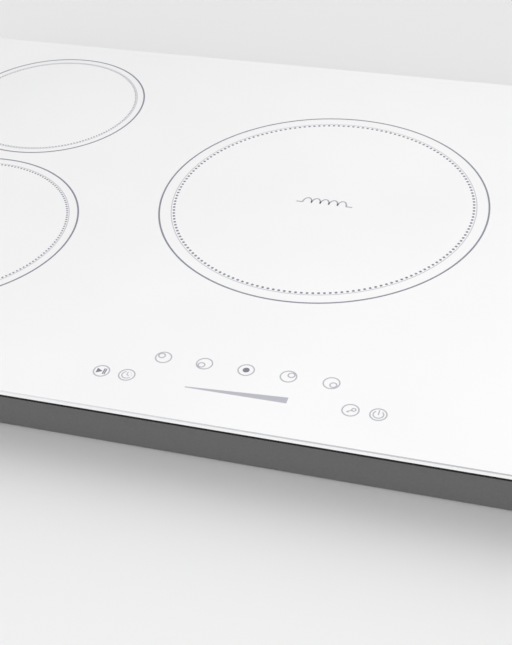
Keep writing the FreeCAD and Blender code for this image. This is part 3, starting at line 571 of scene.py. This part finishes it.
def circuit_board():
    """Green solder mask over copper tracks, in blocks that run along X or along Y, with tinned pads."""
    finish = Finish("circuit_board", linear(24, 96, 52), roughness=0.35)
    split = finish.node("SeparateXYZ")
    finish.join(finish.place, split.inputs["Vector"])
    block = finish.node("VectorMath", operation="SNAP")
    block.inputs[1].default_value = (TRACK_BLOCK, TRACK_BLOCK, TRACK_BLOCK)
    finish.join(finish.place, block.inputs[0])
    chance = finish.node("TexWhiteNoise")
    finish.join(block.outputs["Vector"], chance.inputs["Vector"])
    stripes = []
    for axis in "XY":
        along = finish.maths("FRACT", finish.maths("DIVIDE", split.outputs[axis], TRACK_PITCH))
        stripes.append(finish.maths("LESS_THAN", along, TRACK_SHARE))
    turned = finish.maths("GREATER_THAN", chance.outputs["Value"], 0.5)
    line = finish.maths("MULTIPLY", stripes[0], turned)
    unturned = finish.maths("SUBTRACT", 1.0, turned)
    line = finish.maths("ADD", line, finish.maths("MULTIPLY", stripes[1], unturned))
    plane = finish.maths("LESS_THAN", finish.noise(scale=45.0, detail=1.0), GROUND_PLANE_LEVEL)
    line = finish.maths("MAXIMUM", line, plane)
    pads = finish.cells(scale=260.0, distance="CHEBYCHEV")
    pad = finish.maths("LESS_THAN", pads, PAD_REACH)
    mask = finish.blend(line, linear(18, 74, 42), linear(34, 108, 62))
    finish.tint(pad, mask, linear(196, 196, 188))
    finish.wear(line, low=0.22, high=0.38)
    finish.bump(finish.maths("MAXIMUM", line, pad), depth=0.00005)
    return finish.material


def mica():
    """Pressed mica sheet in pale gold flakes."""
    finish = Finish("mica", linear(200, 182, 150), roughness=0.4)
    finish.put("Coat Weight", 0.25)
    flakes = finish.cells(scale=210.0, output="Color", stretch=(1.0, 0.6, 1.0))
    grey = finish.node("RGBToBW")
    finish.join(flakes, grey.inputs["Color"])
    finish.tint(grey.outputs["Val"], linear(176, 156, 122), linear(222, 208, 180))
    finish.wear(grey.outputs["Val"], low=0.25, high=0.5)
    finish.bump(grey.outputs["Val"], depth=0.00005)
    return finish.material


def ferrite():
    """Sintered ferrite: matt near-black with fine pits."""
    finish = Finish("ferrite", linear(52, 52, 56), roughness=0.7)
    pits = finish.noise(scale=1300.0, detail=5.0)
    finish.tint(pits, linear(38, 38, 42), linear(70, 70, 76))
    finish.wear(pits, low=0.6, high=0.82)
    finish.bump(pits, depth=0.00008)
    return finish.material


def insulated_wire():
    """Silicone-sleeved wire, in two colours by place, with a braided relief."""
    finish = Finish("insulated_wire", linear(150, 30, 26), roughness=0.5)
    weave = finish.cells(scale=1100.0)
    which = finish.ranged(finish.noise(scale=4.0, detail=0.0), low=0.0, high=1.0, start=0.47, end=0.53)
    finish.tint(which, linear(158, 28, 24), linear(40, 44, 52))
    finish.wear(weave, low=0.42, high=0.6)
    finish.bump(weave, depth=0.00012)
    return finish.material


def board_parts():
    """The parts of a power board, each kind in its own colour: films, relays, cans, plug and ring core."""
    finish = Finish("board_parts", linear(44, 58, 120), roughness=0.35)
    split = finish.node("SeparateXYZ")
    finish.join(finish.place, split.inputs["Vector"])
    out_x = finish.maths("ABSOLUTE", split.outputs["X"])
    rear = finish.maths("GREATER_THAN", split.outputs["Y"], REAR_PARTS_Y)
    outer = finish.maths("GREATER_THAN", out_x, OUTER_PARTS_X)
    middle = finish.maths("GREATER_THAN", out_x, MIDDLE_PARTS_X)
    can_top = finish.maths("GREATER_THAN", split.outputs["Z"], BOARD_TOP + CAN_TOP)
    can_sleeve = linear(26, 30, 44)
    can_metal = linear(186, 190, 196)
    ring_core = linear(58, 66, 58)
    film = linear(196, 176, 120)
    relay = linear(30, 62, 132)
    plug = linear(226, 224, 214)
    cans = finish.blend(can_top, can_sleeve, can_metal)
    outer_parts = finish.blend(rear, cans, ring_core)
    inner_parts = finish.blend(rear, film, relay)
    all_but_outer = finish.blend(middle, inner_parts, plug)
    grain = finish.noise(scale=900.0, detail=2.0)
    colour = finish.blend(outer, all_but_outer, outer_parts)
    shade = finish.node("HueSaturation")
    finish.join(colour, shade.inputs["Color"])
    finish.join(finish.ranged(grain, low=0.88, high=1.08), shade.inputs["Value"])
    finish.join(shade.outputs["Color"], finish.shader.inputs["Base Color"])
    finish.wear(grain, low=0.24, high=0.42)
    finish.bump(grain, depth=0.00004)
    return finish.material


def ribbon():
    """Flat cable: parallel ribs side by side across its width."""
    finish = Finish("ribbon", linear(150, 152, 156), roughness=0.45)
    wave = finish.node("TexWave", wave_type="BANDS", bands_direction="X")
    wave.inputs["Scale"].default_value = 250.0
    finish.join(finish.place, wave.inputs["Vector"])
    finish.tint(wave.outputs["Fac"], linear(118, 120, 126), linear(176, 178, 182))
    finish.bump(wave.outputs["Fac"], depth=0.0002)
    return finish.material


def led_lens():
    """Pale moulded lens with a glossy coat."""
    finish = Finish("led_lens", linear(236, 236, 226), roughness=0.12)
    finish.put("Coat Weight", 0.6)
    finish.wear(finish.noise(scale=900.0), low=0.08, high=0.2)
    return finish.material


def all_finishes():
    """One material for each material slot of the record."""
    return {
        "white_glass": white_glass(),
        "black_foam": foam(),
        "black_silicone": silicone(),
        "galvanised_steel": galvanised(),
        "grey_coated_steel": coated_steel(),
        "zinc_screws": zinc_plate("zinc_screws", linear(196, 194, 186)),
        "clamp_steel": zinc_plate("clamp_steel", linear(188, 190, 190)),
        "deck_aluminium": rolled_metal("deck_aluminium", linear(208, 210, 212), "X"),
        "sink_aluminium": rolled_metal("sink_aluminium", linear(196, 199, 202), "Y"),
        "spring_steel": rolled_metal("spring_steel", linear(150, 152, 158), "Z", (0.2, 0.35)),
        "terminal_brass": rolled_metal("terminal_brass", linear(206, 172, 96), "Z", (0.2, 0.35)),
        "litz_copper": copper_litz(),
        "mica": mica(),
        "ferrite": ferrite(),
        "circuit_board": circuit_board(),
        "wire_insulation": insulated_wire(),
        "ribbon_grey": ribbon(),
        "led_white": led_lens(),
        "sensor_plastic": moulded("sensor_plastic", linear(226, 224, 214), (0.5, 0.7)),
        "filter_parts": moulded("filter_parts", linear(196, 158, 48), (0.25, 0.4)),
        "component_plastic": board_parts(),
        "carrier_plastic": moulded("carrier_plastic", linear(84, 86, 88), (0.5, 0.7)),
        "fan_plastic": moulded("fan_plastic", linear(34, 34, 36)),
        "black_plastic": moulded("black_plastic", linear(28, 28, 29)),
        "lid_plastic": moulded("lid_plastic", linear(40, 40, 42)),
        "nylon": moulded("nylon", linear(222, 219, 206), (0.4, 0.55)),
        "terminal_plastic": moulded("terminal_plastic", linear(214, 214, 208), (0.35, 0.5)),
    }


def paint_cad_nodes(finishes):
    """Give every CAD node the finish of its slot."""
    for row in frame["record"]["subparts"]:
        node = frame["nodes"][row["node"]]
        finish = finishes[row["material_slot"]]
        for slot in node.material_slots:
            slot.material = finish


# ---------------------------------------------------------------- print on the glass
PRINT_LOW = GLASS_TOP - PRINT_SUNK
PRINT_HIGH = GLASS_TOP + PRINT_THICKNESS


def ring_at(bm, x, y, radius, width=KEY_LINE, steps=KEY_RING_STEPS):
    """A printed ring."""
    band(bm, circle(x, y, radius, steps), width, PRINT_LOW, PRINT_HIGH, closed=True)


def stroke(bm, path, width):
    """A printed line of one width along a path."""
    band(bm, path, width, PRINT_LOW, PRINT_HIGH)


def patch(bm, outline):
    """A printed patch over an outline."""
    plate(bm, outline, PRINT_LOW, PRINT_HIGH)


def dot_outline(middle, out, side):
    """A square dot with cut corners, turned to face out of its ring."""
    across = Vector((-out.y, out.x))
    corners = []
    for u, v in ((1, 1), (-1, 1), (-1, -1), (1, -1)):
        ends = [(u, v * DOT_CORNER), (u * DOT_CORNER, v)]
        if u * v < 0:
            ends.reverse()
        for a, b in ends:
            spot = middle + (out * a + across * b) * side / 2
            corners.append((spot.x, spot.y))
    return corners


def zone_print(name, ink, dot_ink, faint_ink):
    """The outer ring, the ring of square dots and the fine line beside them."""
    centre = ZONE_CENTRE[name]
    radius = RING_RADIUS[name]
    outer_ring = bmesh.new()
    ring_at(outer_ring, centre.x, centre.y, radius, RING_WIDTH, RING_STEPS)
    piece("print_ring_" + name, outer_ring, ink)

    fine_line = bmesh.new()
    ring_at(fine_line, centre.x, centre.y, radius * FINE_LINE_AT, FINE_LINE_WIDTH, RING_STEPS)
    piece("print_fine_line_" + name, fine_line, faint_ink)

    dots = bmesh.new()
    side = DOT_SIDE * radius / RING_RADIUS["centre"]
    for i in range(DOTS_PER_RING[name]):
        turn = 2 * math.pi * i / DOTS_PER_RING[name]
        out = Vector((math.cos(turn), math.sin(turn)))
        middle = Vector((centre.x, centre.y)) + out * radius * DOTS_AT
        patch(dots, dot_outline(middle, out, side))
    piece("print_dots_" + name, dots, dot_ink)


def coil_mark(ink):
    """A plain row of loops, the usual sign for an inductor, in the middle of the centre zone."""
    centre = ZONE_CENTRE["centre"]
    x = centre.x + MARK_OFFSET[0]
    base = centre.y + MARK_OFFSET[1] - MARK_HEIGHT / 2
    hump = MARK_LOOPS_WIDTH / MARK_LOOPS
    bm = bmesh.new()
    for i in range(MARK_LOOPS):
        middle = x - MARK_LOOPS_WIDTH / 2 + (i + 0.5) * hump
        half_turn = arc(0, 0, radius=1, start=180, end=0, steps=MARK_LOOP_STEPS)
        loop = [(middle + u * hump / 2, base + v * MARK_HEIGHT) for u, v in half_turn]
        stroke(bm, loop, MARK_LINE)
    for side in (-1, 1):
        inner = x + side * MARK_LOOPS_WIDTH / 2
        outer = x + side * MARK_WIDTH / 2
        stroke(bm, [(inner, base), (outer, base)], MARK_LINE)
    piece("print_coil_mark", bm, ink)


def zone_keys(ink, solid_ink):
    """Five round keys: a small ring or a dot shows which zone a key is for."""
    rings = bmesh.new()
    dot = bmesh.new()
    corners = ((-1, 1), (-1, -1), None, (1, 1), (1, -1))
    for i, corner in enumerate(corners):
        x = KEYS_SHIFT + (i - 2) * ZONE_KEY_PITCH
        ring_at(rings, x, ZONE_KEY_Y, KEY_RADIUS)
        if corner is None:
            outline = circle(x, ZONE_KEY_Y, CENTRE_DOT_RADIUS, SMALL_RING_STEPS)
            patch(dot, outline)
        else:
            dx = corner[0] * SMALL_RING_OFFSET
            dy = corner[1] * SMALL_RING_OFFSET
            ring_at(rings, x + dx, ZONE_KEY_Y + dy, SMALL_RING_RADIUS, steps=SMALL_RING_STEPS)
    piece("print_zone_keys", rings, ink)
    piece("print_centre_key_dot", dot, solid_ink)


def side_keys(ink, solid_ink):
    """Pause, timer, lock and power keys, at the two ends of the slider row."""
    lines = bmesh.new()
    solids = bmesh.new()
    pause_x = KEYS_SHIFT - SIDE_KEY_OUTER_X
    timer_x = KEYS_SHIFT - SIDE_KEY_INNER_X
    lock_x = KEYS_SHIFT + SIDE_KEY_INNER_X
    power_x = KEYS_SHIFT + SIDE_KEY_OUTER_X
    for x in (pause_x, timer_x, lock_x, power_x):
        ring_at(lines, x, SIDE_KEY_Y, KEY_RADIUS)
    play_triangle(solids, pause_x, SIDE_KEY_Y)
    pause_bars(solids, pause_x, SIDE_KEY_Y)
    timer_symbol(lines, timer_x, SIDE_KEY_Y)
    lock_symbol(lines, lock_x, SIDE_KEY_Y)
    power_symbol(lines, power_x, SIDE_KEY_Y)
    piece("print_side_keys", lines, ink)
    piece("print_play_and_pause", solids, solid_ink)


def play_triangle(bm, x, y):
    """The solid triangle of the start-and-pause key."""
    back = x - 3.7 * MM
    tip = x + 0.9 * MM
    half_height = 2.6 * MM
    patch(bm, [(back, y - half_height), (tip, y), (back, y + half_height)])


def pause_bars(bm, x, y):
    """The two bars of the start-and-pause key."""
    half_height = 3.1 * MM
    bar_width = 0.9 * MM
    for offset in (1.85 * MM, 3.15 * MM):
        stroke(bm, [(x + offset, y - half_height), (x + offset, y + half_height)], bar_width)


def timer_symbol(bm, x, y):
    """A clock: an open arc closed by dots, and two hands."""
    reach = 3.6 * MM
    rim_width = 0.9 * MM
    hand_width = 0.75 * MM
    dot_radius = 0.28 * MM
    stroke(bm, arc(x, y, reach, start=110, end=325, steps=36), rim_width)
    for dot_x, dot_y in arc(x, y, reach, start=345, end=445, steps=5):
        patch(bm, circle(dot_x, dot_y, dot_radius, steps=10))
    long_hand = (x, y + 3.0 * MM)
    short_hand = (x + 1.8 * MM, y - 0.5 * MM)
    for tip in (long_hand, short_hand):
        stroke(bm, [(x, y), tip], hand_width)


def lock_symbol(bm, x, y):
    """A key: bow, shaft and bit."""
    bow = (x + 2.2 * MM, y + 0.9 * MM)
    shaft = [(x + 0.9 * MM, y + 0.1 * MM), (x - 2.6 * MM, y - 2.0 * MM)]
    bit = [(x - 1.7 * MM, y - 1.5 * MM), (x - 1.1 * MM, y - 2.6 * MM)]
    ring_at(bm, *bow, radius=1.45 * MM, width=0.9 * MM, steps=24)
    stroke(bm, shaft, width=0.8 * MM)
    stroke(bm, bit, width=0.7 * MM)


def power_symbol(bm, x, y):
    """The usual open ring with a bar through the gap."""
    line = 0.95 * MM
    stroke(bm, arc(x, y, radius=3.7 * MM, start=128, end=412, steps=44), line)
    stroke(bm, [(x, y - 0.5 * MM), (x, y + 4.7 * MM)], line)


def slider_wedge(ink):
    """The power slider: a wedge that grows to the right."""
    left, right = WEDGE_X
    thin, thick = WEDGE_HEIGHTS
    bm = bmesh.new()
    outline = [(left, WEDGE_Y), (right, WEDGE_Y), (right, WEDGE_Y + thick), (left, WEDGE_Y + thin)]
    patch(bm, outline)
    piece("print_slider", bm, ink)


def all_print():
    """Everything that is printed on the glass, each kind in its own ink."""
    ring_ink = print_ink("print_ink_rings", linear(*INK_RINGS))
    solid_ink = print_ink("print_ink_solid", linear(*INK_SOLID))
    mark_ink = print_ink("print_ink_mark", linear(*INK_MARK))
    key_ink = print_ink("print_ink_keys", linear(*INK_KEYS))
    slider_ink = print_ink("print_ink_slider", linear(*INK_SLIDER))
    faint_ink = print_ink("print_ink_faint", linear(*INK_FAINT))
    for name in ZONE_NAMES:
        zone_print(name, ring_ink, solid_ink, faint_ink)
    coil_mark(mark_ink)
    zone_keys(key_ink, solid_ink)
    side_keys(key_ink, solid_ink)
    slider_wedge(slider_ink)


# ---------------------------------------------------------------- windings
def coil_spiral(name, material):
    """One layer of litz wire wound in a spiral, in the place of the coil's ring-shaped solid."""
    node = "coil_winding_" + name
    low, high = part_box(node)
    middle = (low + high) / 2
    outer = (high.x - low.x) / 2
    half_height = (high.z - low.z) / 2
    turns = round((outer - COIL_INNER_R) / COIL_PITCH)
    up = Vector((0, 0, half_height))
    centres = []
    for i in range(turns * COIL_STEPS + 1):
        turn = 2 * math.pi * i / COIL_STEPS
        out = Vector((math.cos(turn), math.sin(turn), 0))
        done = i / (turns * COIL_STEPS)
        reach = COIL_INNER_R + COIL_PITCH / 2 + (outer - COIL_INNER_R - COIL_PITCH) * done
        centres.append((middle + out * reach, out * COIL_WIRE_HALF_WIDTH, up))
    bm = bmesh.new()
    tube(bm, centres, COIL_WIRE_SIDES)
    made = piece("litz_spiral_" + name, bm, material, smooth=True, origin=middle)
    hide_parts(node)


def choke_winding(name, x, y, material):
    """Turns of enamelled wire round a ring core that lies on a board."""
    floor_z = BOARD_TOP + CHOKE_WIRE_R
    centre = Vector((x, y, BOARD_TOP + CHOKE_SECTION_R))
    bm = bmesh.new()
    for i in range(CHOKE_TURNS):
        turn = 2 * math.pi * (i + 0.5) / CHOKE_TURNS
        out = Vector((math.cos(turn), math.sin(turn), 0))
        along = Vector((-out.y, out.x, 0)) * CHOKE_WIRE_R
        loop = []
        for j in range(CHOKE_STEPS):
            lean = 2 * math.pi * j / CHOKE_STEPS
            away = out * math.cos(lean) + Vector((0, 0, math.sin(lean)))
            spot = centre + out * CHOKE_RING_R + away * CHOKE_SECTION_R
            spot.z = max(spot.z, floor_z)
            loop.append((spot, away * CHOKE_WIRE_R, along))
        tube(bm, loop, CHOKE_WIRE_SIDES, closed=True)
    piece("choke_winding_" + name, bm, material, smooth=True, origin=centre)


def all_windings(material):
    """The five coils, and the windings of the four ring chokes."""
    for name in ZONE_NAMES:
        coil_spiral(name, material)
    for name, side in (("left", -1), ("right", 1)):
        board = centre_of("power_board_" + name)
        x = board.x + side * CHOKE_OFF_BOARD_CENTRE[0]
        choke_winding(name, x, board.y + CHOKE_OFF_BOARD_CENTRE[1], material)
    low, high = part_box("filter_components")
    reach = CHOKE_RING_R + CHOKE_SECTION_R
    for name, step in (("filter_a", 0.0), ("filter_b", FILTER_CHOKE_PITCH)):
        choke_winding(name, low.x + reach + step, high.y - reach, material)


# ---------------------------------------------------------------- small parts on the boards
def soft_box(bm, foot, size, bevel):
    """A closed box with rounded edges, which stands with the middle of its underside on a point."""
    made = bmesh.ops.create_cube(bm, size=1.0)
    middle = foot + Vector((0, 0, size[2] / 2))
    for vert in made["verts"]:
        vert.co = middle + Vector((vert.co.x * size[0], vert.co.y * size[1], vert.co.z * size[2]))
    edges = list({edge for vert in made["verts"] for edge in vert.link_edges})
    bmesh.ops.bevel(bm, geom=edges, offset=bevel, segments=2, affect="EDGES")


def chip(cases, legs, place, length, width, pairs):
    """A chip that lies along X, with a row of legs on each long side."""
    case_foot = place + Vector((0, 0, CHIP_GAP))
    soft_box(cases, case_foot, (length, width, CHIP_HEIGHT), CHIP_BEVEL)
    pitch = length / pairs
    for i in range(pairs):
        for side in (-1, 1):
            off_x = (i + 0.5) * pitch - length / 2
            off_y = side * (width + LEG_REACH) / 2
            leg_size = (pitch * LEG_SHARE, LEG_REACH, LEG_HEIGHT)
            soft_box(legs, place + Vector((off_x, off_y, 0)), leg_size, LEG_BEVEL)


def resistor(cases, legs, place):
    """A small flat resistor along X, with a tinned cap on each end."""
    soft_box(cases, place, RESISTOR_SIZE, RESISTOR_BEVEL)
    for end in (-1, 1):
        soft_box(legs, place + Vector((end * CAP_OUT, 0, 0)), CAP_SIZE, RESISTOR_BEVEL)


def power_board_chips(name, side, case_material, leg_material):
    """The driver chips, the controller chip and the rows of resistors of one power board."""
    board = centre_of("power_board_" + name)
    board.z = BOARD_TOP
    cases = bmesh.new()
    legs = bmesh.new()
    for i in range(DRIVERS):
        off = Vector((-side * DRIVERS_INWARD, FIRST_DRIVER_Y + i * DRIVER_PITCH, 0))
        chip(cases, legs, board + off, **SMALL_CHIP)
    chip(cases, legs, board + Vector((side * CONTROLLER_OUTWARD, CONTROLLER_Y, 0)), **LARGE_CHIP)
    for inward in RESISTOR_ROWS_INWARD:
        for i in range(RESISTORS_PER_ROW):
            off = Vector((-side * inward, FIRST_RESISTOR_Y + i * RESISTOR_PITCH, 0))
            resistor(cases, legs, board + off)
    piece("chips_" + name, cases, case_material)
    piece("chip_legs_" + name, legs, leg_material)


def control_board_chips(case_material, leg_material):
    """The touch chips between the two rows of foam pads, with a pair of resistors at each end of a chip."""
    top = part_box("control_board")[1].z
    row_y = (ZONE_KEY_Y + SIDE_KEY_Y) / 2
    cases = bmesh.new()
    legs = bmesh.new()
    for x in TOUCH_CHIPS_X:
        chip(cases, legs, Vector((x, row_y, top)), **SMALL_CHIP)
        for end in (-1, 1):
            for side in (-1, 1):
                y = row_y + side * TOUCH_RESISTORS_APART_Y / 2
                resistor(cases, legs, Vector((x + end * TOUCH_RESISTORS_AWAY_X, y, top)))
    piece("chips_control", cases, case_material)
    piece("chip_legs_control", legs, leg_material)


def all_chips(case_material, leg_material):
    """The flat chips of the two power boards and of the control board."""
    for name, side in (("left", -1), ("right", 1)):
        power_board_chips(name, side, case_material, leg_material)
    control_board_chips(case_material, leg_material)


def balance_clip(name, material):
    """A spring clip on one blade of a blower wheel, as left by balancing: two cheeks and a bridge below."""
    low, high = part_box("fan_rotor_" + name)
    tip = Vector((high.x - BLADE_TIP_INSET, (low.y + high.y) / 2, low.z))
    bm = bmesh.new()
    width = CLIP_GAP + 2 * CLIP_SHEET
    soft_box(bm, Vector((-CLIP_FROM_TIP, 0, 0)), (CLIP_LENGTH, width, CLIP_SHEET), CLIP_BEVEL)
    for side in (-1, 1):
        cheek_foot = Vector((-CLIP_FROM_TIP, side * (CLIP_GAP + CLIP_SHEET) / 2, CLIP_SHEET / 2))
        soft_box(bm, cheek_foot, (CLIP_LENGTH, CLIP_SHEET, CLIP_HEIGHT), CLIP_BEVEL)
    lean = Matrix.Rotation(math.radians(BLADE_LEAN), 3, "Z")
    bmesh.ops.rotate(bm, verts=bm.verts, cent=(0, 0, 0), matrix=lean)
    bmesh.ops.translate(bm, verts=bm.verts, vec=tip)
    piece("balance_clip_" + name, bm, material, body="fan_wheel_" + name)


# ---------------------------------------------------------------- stage, light and camera
def floor():
    """A plain pale floor under the part."""
    bm = bmesh.new()
    bmesh.ops.create_grid(bm, x_segments=2, y_segments=2, size=FLOOR_HALF_SIZE)
    mesh = bpy.data.meshes.new("floor")
    bm.to_mesh(mesh)
    bm.free()
    made = bpy.data.objects.new("floor", mesh)
    bpy.context.scene.collection.objects.link(made)
    made.location.z = cad_box[0].z - FLOOR_GAP
    finish = Finish("floor_paint", linear(240, 240, 240), roughness=0.8)
    finish.wear(finish.noise(scale=30.0), low=0.75, high=0.9)
    mesh.materials.append(finish.material)


def near_light():
    """A soft square lamp near the front right, out of the picture."""
    data = bpy.data.lights.new("near_light", "AREA")
    data.shape = "SQUARE"
    data.size = NEAR_SIZE
    data.energy = NEAR_POWER
    made = bpy.data.objects.new("near_light", data)
    made.location = NEAR_PLACE
    made.rotation_mode = "QUATERNION"
    made.rotation_quaternion = (NEAR_TARGET - NEAR_PLACE).to_track_quat("-Z", "Y")
    made.visible_camera = False
    bpy.context.scene.collection.objects.link(made)


def surroundings():
    """A pale room with one broad bright side, high behind the right of the object, that fades out softly."""
    world = bpy.data.worlds.new("studio")
    world.use_nodes = True
    tree = world.node_tree
    place = tree.nodes.new("ShaderNodeTexCoord")
    towards = tree.nodes.new("ShaderNodeVectorMath")
    towards.operation = "DOT_PRODUCT"
    towards.inputs[1].default_value = WINDOW_AXIS
    glow = tree.nodes.new("ShaderNodeMapRange")
    glow.interpolation_type = "SMOOTHSTEP"
    glow.inputs["From Min"].default_value = WINDOW_REACH[0]
    glow.inputs["From Max"].default_value = WINDOW_REACH[1]
    glow.inputs["To Min"].default_value = ROOM_LIGHT
    glow.inputs["To Max"].default_value = ROOM_LIGHT + WINDOW_LIGHT
    tree.links.new(place.outputs["Generated"], towards.inputs[0])
    tree.links.new(towards.outputs["Value"], glow.inputs["Value"])
    tree.links.new(glow.outputs["Result"], tree.nodes["Background"].inputs["Strength"])
    tree.nodes["Background"].inputs["Color"].default_value = (1.0, 1.0, 1.0, 1.0)
    bpy.context.scene.world = world


def front_light():
    """A broad low light from the front, like a whole bright wall, which leaves no glare on the glass."""
    data = bpy.data.lights.new("front_light", "SUN")
    data.energy = FRONT_LIGHT
    data.angle = math.radians(FRONT_LIGHT_SPREAD)
    made = bpy.data.objects.new("front_light", data)
    made.visible_glossy = False
    made.rotation_mode = "QUATERNION"
    made.rotation_quaternion = FRONT_LIGHT_AIM.to_track_quat("-Z", "Y")
    bpy.context.scene.collection.objects.link(made)


def studio():
    """Pale surroundings, a broad front light and one soft lamp near the front right."""
    surroundings()
    front_light()
    near_light()
    bpy.context.scene.view_settings.view_transform = "Standard"


def camera():
    """The camera of the reference view."""
    data = bpy.data.cameras.new("view_camera")
    data.lens = CAMERA_LENS
    data.sensor_width = CAMERA_SENSOR_WIDTH
    azimuth = math.radians(CAMERA_AZIMUTH)
    elevation = math.radians(CAMERA_ELEVATION)
    forward = Vector((
        math.sin(azimuth) * math.cos(elevation),
        math.cos(azimuth) * math.cos(elevation),
        -math.sin(elevation),
    ))
    made = bpy.data.objects.new("view_camera", data)
    zone = ZONE_CENTRE["centre"]
    made.location = Vector((zone.x, zone.y, GLASS_TOP)) + CAMERA_FROM_ZONE
    made.rotation_mode = "QUATERNION"
    roll = Quaternion((0, 0, 1), math.radians(CAMERA_ROLL))
    made.rotation_quaternion = forward.to_track_quat("-Z", "Y") @ roll
    bpy.context.scene.collection.objects.link(made)
    bpy.context.scene.camera = made


finishes = all_finishes()
paint_cad_nodes(finishes)
all_print()
all_windings(finishes["litz_copper"])
all_chips(finishes["black_plastic"], finishes["zinc_screws"])
for wheel in ("left", "right"):
    balance_clip(wheel, finishes["spring_steel"])
floor()
studio()
camera()
